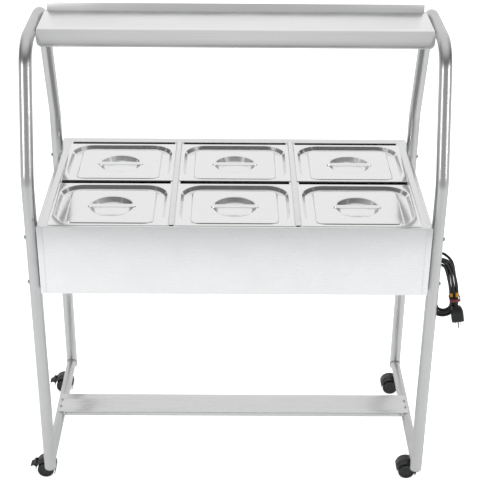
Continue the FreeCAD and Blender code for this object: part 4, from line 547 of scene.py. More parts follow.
# Casing: five folded stainless sheets. The front and rear walls are plain and brushed level, the
# side walls return round the corners, and the bottom is an upturned tray.
level_sheet = finish("level-brushed stainless casing", satin_sheet, (0.3, 0.0014, 0.0014),
                     "#e6e7e7", "#ebebea", 0.24, 0.3, 0.000004, Metallic=1)
for name, node in (("front_wall", "front_panel"), ("left_wall", "left_side_panel"),
                   ("right_wall", "right_side_panel"), ("rear_wall", "rear_panel"),
                   ("bottom_tray", "bottom_panel")):
    dress(folded_copy(name, node), "counter", "stainless_sheet", level_sheet, node)

# Rim: a stainless frame folded round the well, with a flat outside, a slope down to the ledge on
# which the pans hang, and a short skirt into the well. Its corners are welded and dressed flush.
rim_steel = finish("bright stainless rim", satin_sheet, (0.1, 0.0016, 0.0016), "#d4d5d5", "#e4e4e3",
                   0.14, 0.22, Metallic=1)
rim_rows = eased([
    (534, 0, 608, 898.5), (534, 0, 608, 899.4), (533.4, 0.6, 607.4, 900), (524.5, 7.5, 600.5, 900),
    (509, 16.5, 589.3, 895), (501.4, 22.1, 589.3, 895), (501, 22.5, 589.3, 894.6), (501, 22.5, 589.3, 879.5)
], (0.2, 0.2, 0.9, 0.9, 0.2, 0.2))
bm = bmesh.new()
rings = []
for half, front, rear, z in rim_rows:
    corners = ((-half, front), (half, front), (half, rear), (-half, rear))
    rings.append([bm.verts.new(at(x, y, z)) for x, y in corners])
bridged(bm, rings)
rim = thickened(bare_object("well_rim_frame", bm), SHEET, sharp=12)
dress(rim, "counter", "stainless_sheet", rim_steel, "well_rim")

# Divider bars and troughs: folded strips that hang between the pans. The long bars are bright, and the
# troughs across have painted shade inside: their colour goes nearly black below the flanges, so they read as
# black lines.


def blotched_height(tree, size, detail, spread):
    """The height in metres, with blotches that blur a level line."""
    height = add(tree, "ShaderNodeSeparateXYZ", {"Vector": place(tree)}).node.outputs["Z"]
    return reckon(tree, "ADD", height, grain(tree, size, detail, -spread, spread))


def scaled_trough(tree):
    """Stainless with painted shade: nearly black below the flanges, where the troughs are in shade, and plain
    on top.
    """
    unshaded_top = ranged(tree, blotched_height(tree, (0.012, 0.012, 0.006), 3, 0.0012), 0, 1, 0.8915, 0.8942)
    return {"Base Color": tinted(tree, "#1b1a19", "#b9babb", unshaded_top),
            "Roughness": ranged(tree, unshaded_top, 0.5, 0.25)}


# Painted shade: the troughs' base colour darkens below the flanges' height
trough_steel_painted_shade = finish("stainless with painted trough shade", scaled_trough, Metallic=1)
for side, sign in SIDES:
    bar = folded_copy(side + "_long_bar", side + "_divider_bar")
    dress(bar, "counter", "stainless_sheet", rim_steel, side + "_divider_bar")
dress(folded_copy("trough_bars", "cross_bars"), "counter", "stainless_sheet", trough_steel_painted_shade, "cross_bars")

# Water tank and heater: a deep stainless tank under the pans with its drain outlet, and one tubular
# element bent along its floor. Hard water leaves a chalky tide mark on the tank.


def watered_steel(tree):
    """Stainless with limescale below the water line."""
    above = blotched_height(tree, (0.03, 0.03, 0.004), 4, 0.006)
    return {"Base Color": tinted(tree, "#9c9b97", "#b9b9b8", grain(tree, 0.006, 4)),
            "Roughness": ranged(tree, above, 0.55, 0.24, 0.79, 0.802)}


tank_steel = finish("limescaled stainless tank", watered_steel, Metallic=1)
tank = folded_copy("water_tank_shell", "water_tank", edge=0)
dress(tank, "counter", "stainless_sheet", tank_steel, "water_tank")
# Element sheath: nickel alloy gone bronze and blue with heat, in slow bands
element_steel = finish("heat-tinted element sheath", mottled, "#4b4744", "#7a6f63", 0.06, 0.42, Metallic=1)
element = folded_copy("tubular_heater", "heating_element", edge=0, flat=0.5)
dress(element, "counter", "element_metal", element_steel, "heating_element")

# Pans: half-size gastronorm pans pressed from 1 mm stainless, polished inside and out. The flange
# hangs on the ledge and carries the lid, and the walls taper so that the pans nest.
COLUMNS = {"left": -343.5, "middle": 0, "right": 343.5}
ROWS = {"front": 150, "rear": 436.5}
PLACES = [(row + "_" + column, COLUMNS[column], ROWS[row]) for row in ROWS for column in COLUMNS]
PAN_WIDE, PAN_LONG = 162.5, 132.5
PRESSED_STEEL, PER_CORNER = 1, 10
LEDGE = 895
PAN_TOP, PAN_FLOOR = LEDGE + 1, LEDGE - 99


def corner_ring(wide, high, corner, per_corner, share=1.0):
    """Points of a rounded rectangle, each corner's over a share of its quarter turn."""
    ring = []
    for quarter, (side_u, side_v) in enumerate(((1, 1), (-1, 1), (-1, -1), (1, -1))):
        for step in range(per_corner):
            turn = 45 + (step - (per_corner - 1) / 2) * 90 / (per_corner - 1) * share + 90 * quarter
            angle = math.radians(turn)
            ring.append((side_u * (wide - corner) + corner * math.cos(angle),
                         side_v * (high - corner) + corner * math.sin(angle)))
    return ring


def pressed(name, rows, x, y):
    """A pressed sheet of nested rounded rings: rows of (half width, half length, corner, height)."""
    bm = bmesh.new()
    made = []
    for wide, long, corner, height in rows:
        round_ring = abs(wide - corner) < 0.01 and abs(long - corner) < 0.01
        share = (PER_CORNER - 1) / PER_CORNER if round_ring else 1
        ring = corner_ring(wide, long, corner, PER_CORNER, share)
        made.append([bm.verts.new(at(x + u, y + v, height)) for u, v in ring])
    return thickened(open_sheet(name, bm, made, grid=False), PRESSED_STEEL, 0.2)


def drawn_steel(tree, dark="#c3c4c4", light="#d3d3d2", ripple=0.00006):
    """Bright drawn stainless: a near mirror with the slow ripple that a press leaves, and fine scuffs."""
    scuff = grain(tree, (0.03, 0.0016, 0.004), 3)
    return {
        "Base Color": tinted(tree, dark, light, scuff),
        "Roughness": ranged(tree, scuff, 0.1, 0.19),
        "Normal": bump(tree, grain(tree, 0.045, 1), ripple, 0.5),
    }


pan_steel = finish("bright drawn stainless pan", drawn_steel, Metallic=1)
pan_rows = eased([
    (PAN_WIDE, PAN_LONG, 5, PAN_TOP), (154, 124, 46, PAN_TOP), (146, 116, 38, PAN_FLOOR),
    (100, 70, 30, PAN_FLOOR)
], (2, 12), 7)
for spot, x, y in PLACES:
    vessel = pressed("gastronorm_pan_" + spot, pan_rows, x, y)
    dress(vessel, "pan_" + spot, "polished_steel", pan_steel, "pan_" + spot)

# Lids: pressed from 1 mm stainless with a flat flange, a sloping recess, a raised plateau and a
# round finger dish with a fine bead round its mouth. They are polished brighter than the casing.
LID_TOP = PAN_TOP + 1
RECESS, PLATEAU, DISH = LID_TOP - 12, LID_TOP - 7.4, LID_TOP - 23.4

lid_steel = finish("bright drawn stainless lid", drawn_steel, "#e3e4e4", "#eaeae9", 0.00003, Metallic=1)
lid_rows = eased([
    (PAN_WIDE, PAN_LONG, 2, LID_TOP - 0.2), (PAN_WIDE - 0.6, PAN_LONG - 0.6, 2, LID_TOP),
    (152.5, 122.5, 62, LID_TOP), (144.5, 114.5, 54, RECESS), (121.5, 103.5, 22, RECESS),
    (118.5, 100.5, 16, PLATEAU), (66, 66, 66, PLATEAU), (64, 64, 64, PLATEAU), (62, 62, 62, PLATEAU + 0.9),
    (60, 60, 60, PLATEAU), (48, 48, 48, DISH), (20, 20, 20, DISH), (4, 4, 4, DISH)
], (0, 1.8, 4, 3, 2, 0, 0.8, 0.9, 1.0, 7, 0))
for spot, x, y in PLACES:
    cover = pressed("gastronorm_lid_" + spot, lid_rows, x, y)
    dress(cover, "lid_" + spot, "polished_steel", lid_steel, "lid_" + spot)

# Lid handles: a thin stainless strap across each dish, with rolled edges and pointed ends that are
# spot-welded flat on the plateau.
STRAP_END, STRAP_RISE = 67, 2
STATIONS = [(-STRAP_END, 2.2), (-66.2, 4), (-64, 6), (-60.5, 8), (-57, 9.6), (-52, 10.7), (-46, 11), (0, 11)]
STATIONS += [(-along, half) for along, half in STATIONS[-2::-1]]
ROLLED = [(-1, -1.15), (-0.96, -0.5), (-0.84, -0.08), (-0.6, 0), (0, 0)]
ROLLED += [(-share, drop) for share, drop in ROLLED[-2::-1]]
handle_steel = finish("bright stainless strap", drawn_steel, "#dcdddd", "#e8e8e7", 0.00002, Metallic=1)
for spot, x, y in PLACES:
    bm = bmesh.new()
    rows = []
    for along, half in STATIONS:
        crest = PLATEAU + STRAP_RISE + 0.5 * (1 - (along / STRAP_END) ** 2)
        rows.append([bm.verts.new(at(x + along, y + share * half, crest + drop * min(1, half / 8)))
                     for share, drop in ROLLED])
    strap = thickened(open_sheet("strap_handle_" + spot, bm, rows), 1.2, 0.15)
    dress(strap, "lid_" + spot, "polished_steel", handle_steel, "lid_handle_" + spot)

# Frame bolts: zinc-plated flanged hexagon bolts through each leg into the casing, two to a leg, with
# a turned spacer ring between the leg and the side wall.
WALL_X = 534
BOLT_SPOTS = [(sign, y, z) for sign in (-1, 1) for y in (FRONT_LEG, REAR_LEG) for z in (710, 850)]
bolt_tree, given = geometry_tree("flanged hexagon bolts", {
    "Flange radius": 0.0065, "Flange height": 0.0012, "Hexagon radius": 0.0052, "Hexagon height": 0.0024,
    "Chamfer height": 0.0007})
bolt_head = add(bolt_tree, "GeometryNodeJoinGeometry")
height = 0
for sides, width, top_share, tall in ((32, "Flange radius", 0.88, "Flange height"),
                                      (6, "Hexagon radius", 1.0, "Hexagon height"),
                                      (6, "Hexagon radius", 0.82, "Chamfer height")):
    step = add(bolt_tree, "GeometryNodeMeshCone", {
        "Vertices": sides, "Radius Bottom": given[width], "Depth": given[tall],
        "Radius Top": reckon(bolt_tree, "MULTIPLY", given[width], top_share)})
    step = add(bolt_tree, "GeometryNodeTransform", {
        "Geometry": step, "Translation": vector(bolt_tree, 0, 0, height)})
    bolt_tree.links.new(step, bolt_head.node.inputs[0])
    height = reckon(bolt_tree, "ADD", height, given[tall])
stand_copies(bolt_tree, given, bolt_head, zinc_steel)
spots = [at(sign * (FRAME_X + TUBE_RADIUS - 0.2), y, z) for sign, y, z in BOLT_SPOTS]
bolts = grow("flanged_bolts", bolt_tree, spots, [(sign, 0, 0) for sign, y, z in BOLT_SPOTS])
spacer = eased([(3.3, 0), (8, 0), (8, 3.6), (3.3, 3.6), (3.3, 0)], (0.5, 0.5, 0.2), 3)
bm = bmesh.new()
for sign, y, z in BOLT_SPOTS:
    turned(bm, spacer, at(sign * WALL_X, y, z), outward * sign, 32)
spacer_rings = as_object("leg_spacers", bm)
dress(bolts, "counter", "zinc_steel", None, "frame_bolts")
dress(spacer_rings, "counter", "zinc_steel", zinc_steel)

# Drain valve: a brass ball valve with hexagon ends pushed on the tank's outlet. A pressed lever with
# a dipped red grip turns its ball from behind, and is held by a cap nut.
VALVE = (-300, 530, 658)
LEVER_OUT = 21.65


def slab(bm, outline, half, spot_of, ease=0.5, steps=3):
    """A solid between -half and half behind an outline, drawn in at both faces to round its edges."""
    middle = [sum(part) / len(outline) for part in zip(*outline)]
    turns = [math.radians(90) * step / steps for step in range(steps + 1)]
    levels = [(-half + ease * (1 - math.cos(turn)), ease * (1 - math.sin(turn))) for turn in turns]
    levels += [(-off, inset) for off, inset in levels[::-1]]
    rings = []
    for off, inset in levels:
        ring = []
        for spot in outline:
            share = 1 - inset / max(math.dist(spot, middle), inset)
            u, v = (m + (s - m) * share for s, m in zip(spot, middle))
            ring.append(bm.verts.new(spot_of(u, v, off)))
        rings.append(ring)
    bridged(bm, rings)
    capped(bm, rings)


def arc(radius, degrees):
    return [(radius * math.cos(math.radians(a)), radius * math.sin(math.radians(a))) for a in degrees]


# Forged brass with a dull nickel flash: warm where handled, with a faint sand texture
valve_brass = finish("forged brass", mottled, "#b89a5e", "#c9b98f", 0.008, (0.3, 0.44), 3,
                     (0.0006, 0.00003, 0.5, 2), Metallic=1)
red_vinyl = finish("dipped red vinyl", moulded, "#8e1f1c", "#a32723", 0.36, IOR=1.53)
end_nut = eased([(0, 9.5), (12.3, 9.5), (13, 10.3), (13, 16.9), (12.1, 17.6), (0, 17.6)],
                (0, 0.3, 0.3, 0), 2)
end_thread = [(0, 17), (10.2, 17)]
end_thread += [(radius, 18.1 + 0.4 * step) for step, radius in enumerate((10.4, 9.9) * 6)]
end_thread += [(9.5, 23), (7.4, 23), (7, 22.6), (7, 18.2), (0, 18.2)]
belly = eased([(0, -11), (11.6, -11), (15, -7.2), (15, 7.2), (11.6, 11), (0, 11)], (1, 3, 3, 1))
cap_nut = eased([(0, 23.3), (6.1, 23.3), (6.5, 23.6), (6.5, 25.4), (5.6, 26.3), (0, 26.3)],
                (0, 0.2, 0.3, 0.3), 3)
bm = bmesh.new()
for profile, way, sides in (
    (end_nut, up, 6), (end_thread, up, 48), (end_nut, -up, 6), (end_thread, -up, 48), (belly, up, 48),
    (eased([(0, 6), (8, 6), (8, 20), (0, 20)], (0, 0.8), 4), rearward, 48),
    ([(0, 19), (4, 19), (4, 24), (0, 24)], rearward, 32), (cap_nut, rearward, 6),
):
    turned(bm, profile, at(*VALVE), way, sides)
dress(as_object("ball_valve_body", bm), "counter", "brass", valve_brass, "drain_valve_body")


def lever_spot(along, rise, off):
    """A point of the lever: along it, up from its middle line, and off its sheet's own middle."""
    return at(VALVE[0] + along, VALVE[1] + LEVER_OUT + off, VALVE[2] + rise)


bm = bmesh.new()
slab(bm, arc(9, range(50, 311, 10)) + [(12, -5.2), (81, -5.2), (81, 5.2), (12, 5.2)], 1.25, lever_spot, 0.4)
dress(as_object("valve_lever", bm), "drain_valve_lever", "zinc_steel", zinc_steel, "drain_valve_lever")
bm = bmesh.new()
grip = [(34, 0), (34, -5.9), (60, -6.6), (82, -6.8), (82, 6.8), (60, 6.6), (34, 5.9), (34, 0)]
slab(bm, eased(grip, (2, 6, 5.5, 5.5, 6, 2), 6)[:-1], 2.6, lever_spot, 1.6, 5)
dress(as_object("valve_lever_grip", bm), "drain_valve_lever", "red_plastic", red_vinyl)

# Thermostat: a black phenolic body behind the rear wall, and a knob with a skirt, a scalloped grip
# and a white pointer. Its dial is printed on the wall: ticks, and figures that only count steps.
REAR_WALL = 608
KNOB = (400, REAR_WALL + 1, 731)
SCALLOPS = 12
SCALLOP_REACH, SCALLOP_RADIUS = 16.1, 2.2
FIGURE_REACH = 30.5

black_phenolic = finish("black moulded phenolic", moulded, "#151515", "#202020", 0.34, IOR=1.55)
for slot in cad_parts["thermostat_body"].material_slots:
    slot.material = black_phenolic


def scalloped(angle, radius, height):
    """The grip's radius at an angle: the row's own, or less where a scallop cuts it."""
    pitch = math.tau / SCALLOPS
    off = (angle + pitch / 2) % pitch - pitch / 2
    aside = SCALLOP_REACH * math.sin(off)
    if height < 4.5 or radius < 10 or abs(aside) > SCALLOP_RADIUS:
        return radius
    return min(radius, SCALLOP_REACH * math.cos(off) - math.sqrt(SCALLOP_RADIUS ** 2 - aside ** 2))


bm = bmesh.new()
knob_profile = eased([
    (0, 0), (21, 0), (21, 3.6), (20, 4), (15, 4.2), (15, 5), (15, 18), (11.5, 18), (10.6, 17.3), (0, 17.2)
], (0.5, 0.5, 0.4, 0.1, 0.1, 1.6, 0.5, 0.6), 4)
turned(bm, knob_profile, at(*KNOB), rearward, 240, shape=scalloped)
knob = as_object("scalloped_knob", bm, 30)
dress(knob, "thermostat_knob", "black_plastic", black_phenolic, "thermostat_knob")

# White paint wiped into moulded marks, a little yellowed, and black screen ink, a little thin in places
white_fill = finish("white paint fill", mottled, "#dcdad2", "#efeee9", 0.002, 0.55, IOR=1.5)
black_ink = finish("black screen ink", mottled, "#101010", "#2a2a2a", 0.0012, 0.5, IOR=1.5)
bm = bmesh.new()
for low, high, top in ((2, 10, 17.35), (16.2, 20.2, 4.2)):
    bar = eased([(0, low), (0.7, low), (0.7, high), (-0.7, high), (-0.7, low), (0, low)], (0.4,) * 4, 3)[:-1]
    slab(bm, bar, 0.15, lambda u, v, w: at(KNOB[0] - u, KNOB[1] + top + w, KNOB[2] + v), 0.1, 2)
dress(as_object("knob_pointer", bm), "thermostat_knob", "light_plastic", white_fill)

tick_tree, given = geometry_tree("dial ticks", {"Tick radius": 0.0003, "Tick length": 0.0026})
tick = add(tick_tree, "GeometryNodeMeshCylinder", {
    "Vertices": 10, "Radius": given["Tick radius"], "Depth": given["Tick length"]})
stand_copies(tick_tree, given, tick, black_ink)
ways = [Vector((-math.sin(math.radians(a)), 0, math.cos(math.radians(a)))) for a in [0, *range(45, 271, 15)]]
spots = [at(KNOB[0], REAR_WALL - 0.2, KNOB[2]) + way * 0.0245 for way in ways]
dress(grow("dial_ticks", tick_tree, spots, ways), "counter", "black_plastic")


def figures(bm, words, size, spot, upward):
    """Add generic figures to a mesh, flat on a face that is read from behind, centred on a spot."""
    letters = bpy.data.curves.new("figures", "FONT")
    letters.body = words
    letters.size = size / 1000
    letters.align_x, letters.align_y = "CENTER", "CENTER"
    letters.extrude = 0.00004
    source = placed("figures", letters)
    flat = evaluated(source)
    bpy.data.objects.remove(source)
    turn = Matrix((-outward, upward, upward.cross(outward))).transposed().to_4x4()
    flat.transform(Matrix.Translation(spot) @ turn)
    bm.from_mesh(flat)
    bpy.data.meshes.remove(flat)


bm = bmesh.new()
for number in range(7):
    aside, rise = arc(FIGURE_REACH, [90 + 45 * number])[0]
    figures(bm, str(number), 6, at(KNOB[0] + aside, REAR_WALL + 0.02, KNOB[2] + rise), up)
dress(as_object("dial_figures", bm), "counter", "black_plastic", black_ink)

# Mains switch: a black nylon housing with a wide bezel snapped into the rear wall, and a dished
# rocker with its two marks. At rest it is off, with its upper end pressed in.
SWITCH = (330, REAR_WALL, 731)
PIVOT_DEPTH = 4
ROCKER_TILT = math.radians(9)


def lofted(bm, rows, centre, across, tall, per_corner=6, closed=False):
    """Rounded rectangles joined up: rows of (half width, half height, corner, distance) in millimetres."""
    out = across.cross(tall)
    rings = []
    for wide, high, corner, distance in rows:
        rings.append([bm.verts.new(centre + (across * u + tall * v + out * distance) / 1000)
                      for u, v in corner_ring(wide, high, corner, per_corner)])
    bridged(bm, rings, closed)
    if not closed:
        capped(bm, rings)


black_nylon = finish("black glass-filled nylon", moulded, "#101010", "#191919", 0.42, IOR=1.53)
bm = bmesh.new()
lofted(bm, eased([
    (6.5, 10, 0.3, -23), (6.5, 10, 0.3, 1.6), (6.9, 10.4, 0.6, 2), (9.2, 12.7, 1.4, 2), (10, 13.5, 1.8, 1.3),
    (10, 13.5, 1.8, 0), (7.5, 11, 0.8, 0), (7.5, 11, 0.8, -24)
], (0.2, 0.2, 0.6, 0.5, 0.1, 0.1), 3), at(*SWITCH), -outward, up)
dress(as_object("switch_frame", bm), "counter", "black_plastic", black_nylon, "switch_housing")


def rocker_spot(out, rise, aside=0):
    """A point of the rocker at rest, from its pivot: out of the wall, up, and aside."""
    y = out * math.cos(ROCKER_TILT) - rise * math.sin(ROCKER_TILT)
    z = out * math.sin(ROCKER_TILT) + rise * math.cos(ROCKER_TILT)
    return at(SWITCH[0] + aside, SWITCH[1] - PIVOT_DEPTH + y, SWITCH[2] + z)


bm = bmesh.new()
dished = eased([(6, 0), (7.4, 8.5), (-2, 8), (-4, 0), (-2, -8), (7.4, -8.5), (6, 0)],
               (0.7, 0.5, 1, 0.5, 0.7), 4)
slab(bm, dished[:-1], 6.05, rocker_spot)
dress(as_object("rocker_key", bm), "switch_rocker", "black_plastic", black_phenolic, "switch_rocker")
bm = bmesh.new()
for mark, sign in (("O", 1), ("I", -1)):
    foot, crest = rocker_spot(6, 0), rocker_spot(7.4, 8.5 * sign)
    upward = (crest - foot).normalized() * sign
    figures(bm, mark, 4.6, (foot + crest) / 2 + upward.cross(outward) * 0.00003, upward)
dress(as_object("rocker_marks", bm), "switch_rocker", "light_plastic", white_fill)

# Casters: 50 mm twin wheels of black nylon. Each hood is one moulding over its wheels, with a web
# between them and a boss round the stem, and the left pair carries a ribbed brake lever on a pin.
CASTER_ROWS = (("front", 88), ("rear", 537))
TRAIL = -21.5
HOOD_HEIGHT, HOOD_EDGE, HOOD_STEPS = 27.5, 23.5, 60
WHEEL_RADIUS = 25
BRAKE_PIVOT = (-53.5, 42)

wheel_nylon = finish("grey-black nylon wheel", moulded, "#141415", "#1e1e1f", 0.44, IOR=1.53)
hood_skin = [(-22.9, 28.5), (-23.3, 28.7), (-23.5, 29.1), (-23.5, 30), (-22.9, 30.5), (-22, 30.65),
             (-8, 30.65), (-7.3, 31)]
hood_skin += [(-off, reach) for off, reach in hood_skin[::-1]]
rim_cap = [(0, 20.7), (3.8, 20.7), (4.4, 20.2), (4.4, 19.5), (10.6, 19.5), (11, 19.1), (15.6, 19.1),
           (16.4, 19.5)]
tread = [(17, 19.5), (18.3, 22), (WHEEL_RADIUS, 22), (WHEEL_RADIUS, 7), (8.5, 7), (8, 6.6), (3, 6.6)]
wheel_profile = eased(rim_cap + tread, (0.4, 0.4, 0.2, 0.3, 0.3, 0.5, 0.5, 0.5, 0.6, 3, 1.5, 0.4, 0.3), 4)
wheel_profile += [(radius, -off) for radius, off in wheel_profile[::-1]]
web = eased([(-34.5, 27), (-34.5, 12), (-8.5, 12), (10, 35.5), (10, 52), (TRAIL, 57.2), (-34.5, 45),
             (-34.5, 27)], (11, 11, 4, 3, 8, 5))[:-1]
boss = eased([(0, 49.5), (10, 49.5), (10, 59), (0, 59)], (0.5, 1.4), 4)
away = Vector((BRAKE_PIVOT[0] - TRAIL, BRAKE_PIVOT[1] - HOOD_HEIGHT)).normalized()
over = Vector((away.y, -away.x))
ear = [tuple(Vector(BRAKE_PIVOT) + away * u + over * v) for u, v in arc(5, range(-95, 96, 10))]
ear += [tuple(Vector((TRAIL, HOOD_HEIGHT)) + away * 29.4 + over * 8 * way) for way in (1, -1)]
pin = eased([(0, -15.3), (2, -15.3), (2, 15.3), (0, 15.3)], (0.4, 0.4), 3)
stem = eased([(0, 42), (5, 42), (5, 59.3), (9, 59.3), (9, 60.8), (0, 60.8)], (0.6, 0.1, 0.3, 0.3), 3)
stem_nut = eased([(0, 60.8), (8.3, 60.8), (8.6, 61.1), (8.6, 64.4), (8, 65), (0, 65)],
                 (0.2, 0.2, 0.3, 0.2), 2)
stems = bmesh.new()
for row, y in CASTER_ROWS:
    for side, sign in SIDES:
        spot, x = row + "_" + side, sign * FRAME_X
        bm = bmesh.new()
        rings = []
        for step in range(HOOD_STEPS + 1):
            turn = math.radians(-30 + 207.2 * step / HOOD_STEPS)
            lip = 1.5 * max(0, 1 - step / 10)
            blunt = 0.5 if step in (0, HOOD_STEPS) else 0
            ring = []
            for off, reach in hood_skin:
                reach = max(reach, 28.5 + lip)
                reach += math.copysign(min(blunt, abs(30 - reach)), 30 - reach)
                off *= 1 - blunt / HOOD_EDGE
                ring.append(bm.verts.new(at(x + TRAIL + reach * math.cos(turn), y + off,
                                            HOOD_HEIGHT + reach * math.sin(turn))))
            rings.append(ring)
        bridged(bm, rings)
        capped(bm, rings)
        slab(bm, web, 6.5, lambda u, v, w: at(x + u, y + w, v), 0.6)
        turned(bm, boss, at(x, y, 0), up)
        if side == "left":
            for middle in (-13.8, 13.8):
                slab(bm, ear, 1.5, lambda u, v, w: at(x + u, y + middle + w, v), 0.35)
            turned(bm, pin, at(x + BRAKE_PIVOT[0], y, BRAKE_PIVOT[1]), rearward, 24)
        hood = "caster_hood_" + spot
        dress(as_object(hood + "_moulding", bm), hood, "black_plastic", black_nylon, hood)
        bm = bmesh.new()
        turned(bm, wheel_profile, at(x + TRAIL, y, WHEEL_RADIUS), rearward, 72)
        wheels = "caster_wheels_" + spot
        dress(as_object("twin_wheels_" + spot, bm), wheels, "black_plastic", wheel_nylon, wheels)
        for profile, sides in ((stem, 40), (stem_nut, 6), ([(0, 64), (5, 64), (5, 80), (0, 80)], 32)):
            turned(stems, profile, at(x, y, 0), up, sides)
dress(as_object("caster_stem_pins", stems), "counter", "zinc_steel", zinc_steel, "caster_stems")

PEDAL_EDGE, PEDAL_WAY = Vector((-15, -5.25)), Vector((0.8587, 0.5123))
RIBS, RIB_PITCH = 4, 2.3
pedal_up = Vector((-PEDAL_WAY.y, PEDAL_WAY.x))
pedal = arc(3.7, range(90, -91, -15))
pedal += eased([(-1, -3.85), (-15, -8.75), tuple(PEDAL_EDGE), (-13, -4.06)], (1.3, 1.3), 4)
for rib in range(RIBS):
    for along, rise in ((0, 0), (0.25, 0.45), (0.95, 0.45), (1.2, 0)):
        pedal.append(tuple(PEDAL_EDGE + PEDAL_WAY * (3 + RIB_PITCH * rib + along) + pedal_up * rise))
for row, y in CASTER_ROWS:
    bm = bmesh.new()
    slab(bm, pedal, 12, lambda u, v, w: at(-FRAME_X + BRAKE_PIVOT[0] + u, y + w, BRAKE_PIVOT[1] + v), 0.6)
    lever = "brake_lever_" + row + "_left"
    dress(as_object("brake_pedal_" + row, bm), lever, "black_plastic", black_nylon, lever)

# Cord gland: a black nylon hexagon and cap nut on the right side wall, with a tapered and ringed
# strain relief that the cord leaves straight.
GLAND = (WALL_X, 116, 765)
bm = bmesh.new()
for profile, sides in (
    (eased([(0, 0), (10.9, 0), (11.5, 0.5), (11.5, 5.4), (10.7, 6), (0, 6)], (0.2, 0.2, 0.3, 0.2), 2), 6),
    (eased([(0, 5.5), (9, 5.5), (9, 12), (7.5, 13.2), (0, 13.2)], (0.2, 1.2, 0.6), 4), 48),
    ([(0, -8), (7.8, -8), (7.8, 0), (0, 0)], 32),
    (eased([(0, -6.5), (11, -6.5), (11.5, -6), (11.5, -1.6), (0, -1.6)], (0.2, 0.2, 0.2), 2), 6),
):
    turned(bm, profile, at(*GLAND), outward, sides)
dress(as_object("gland_body", bm), "counter", "black_plastic", black_nylon, "cord_gland")
bm = bmesh.new()
nose = [(0, 12)]
for ring in range(6):
    start = 12.6 + 3.7 * ring
    reach = 7.6 - 0.4 * ring
    nose += [(reach, start), (reach - 0.15, start + 2.4), (reach - 1, start + 2.6),
             (reach - 1.05, start + 3.5)]
nose = [(radius, min(height, 34.6)) for radius, height in nose] + [(5.2, 35), (0, 35)]
turned(bm, nose, at(*GLAND), outward, 40)
dress(as_object("gland_strain_relief", bm, 50), "counter", "black_plastic", black_nylon)

# Mains cord: 8 mm black flex, 2.36 m long, out of the gland and wound in two layers into a flat hank
# that hangs beside the right wall. Each turn of the winding has 14 points of the cord's own line.
CORD_RADIUS = 4
HANK_MIDDLE = (590, 671)
HANK_TILT = math.radians(9)
HANK_HALF_WIDTH, HANK_HALF_LENGTH, HANK_END = 41.5, 104, 62.5
HANK_LEAN, HANK_SAG = 9, 12
REAR_LAYER, FRONT_LAYER = 98, 89.2
HALF_TURNS = 10
INSETS = [(0, 0), (11, 24.2), (12, 17.6), (20, 0)]
LAYERS = [(0, REAR_LAYER), (10, REAR_LAYER), (11, FRONT_LAYER), (20, FRONT_LAYER)]


def hank(across, along, y):
    """A point in metres, from millimetres off the hank's tilted middle. Its top leans in and sags."""
    across -= HANK_LEAN * max(0, along) / HANK_HALF_LENGTH
    along -= HANK_SAG * max(0, along) / HANK_HALF_LENGTH
    x = HANK_MIDDLE[0] + across * math.cos(HANK_TILT) - along * math.sin(HANK_TILT)
    z = HANK_MIDDLE[1] + across * math.sin(HANK_TILT) + along * math.cos(HANK_TILT)
    return at(x, y, z)


def between(stops, here):
    """The value at a place between two stops of (place, value)."""
    for (start, one), (end, other) in zip(stops, stops[1:]):
        if here <= end:
            return one + (other - one) * (here - start) / (end - start)


half_turn = [(0.25, 1, 0, -30)]
for step, (u, v) in enumerate(arc(1 / math.cos(math.radians(18)), range(18, 163, 36))):
    half_turn.append((0.6 + 0.2 * step, u, -v, -HANK_END))
half_turn.append((1.75, -1, 0, -30))
route = [at(569, 116, 765), at(586, 116, 765), at(603, 112, 755), at(618, 107, 738)]
route += [hank(HANK_HALF_WIDTH, along, REAR_LAYER) for along in (27, 8)]
for half in range(HALF_TURNS):
    sign = -1 if half % 2 else 1
    for gone, across, along, straight in half_turn:
        gone += 2 * half
        reach = HANK_HALF_WIDTH - between(INSETS, gone)
        route.append(hank(sign * across * reach, sign * (straight + along * reach), between(LAYERS, gone)))
TAIL_END = hank(34.2, -55, 76.9)
route += [hank(HANK_HALF_WIDTH, 0, FRONT_LAYER), hank(HANK_HALF_WIDTH, -14, 88.8), hank(40.5, -28, 84.2),
          hank(37.4, -42, 79.4), TAIL_END]

flex = finish("black flexible PVC", moulded, "#0a0a0b", "#131314", 0.36, IOR=1.53)
line = bpy.data.curves.new("mains_cord", "CURVE")
line.dimensions = "3D"
spline = line.splines.new("NURBS")
spline.points.add(len(route) - 1)
for point, spot in zip(spline.points, route):
    point.co = (*spot, 1)
spline.order_u = 3
spline.use_endpoint_u = True
line.resolution_u = 8
cord = placed("mains_cord", line)
bare_line = evaluated(cord)
centre_line = [vert.co.copy() for vert in bare_line.vertices]
bpy.data.meshes.remove(bare_line)
line.bevel_depth = CORD_RADIUS / 1000
line.bevel_resolution = 6
line.use_fill_caps = True
dress(cord, "counter", "black_rubber", flex, "power_cord_lead", "power_cord_hank")

# Tie and tag: a dark red strap round the hank's right strands, with its tail lapped over, and two
# turns of a blank orange tag above it.
hank_across = (hank(1, 0, 0) - hank(0, 0, 0)).normalized()
hank_along = (hank(0, 1, 0) - hank(0, 0, 0)).normalized()


def woven_strap(tree):
    """Dark red polypropylene webbing: fine ribs across and a slight bloom."""
    ribs = ((0.0009, 0.0009, 0.0004), 0.0001, 0.7, 2)
    return {**mottled(tree, "#6d1f28", "#8a3440", 0.006, 0.55, 3, ribs), "Sheen Weight": 0.2}


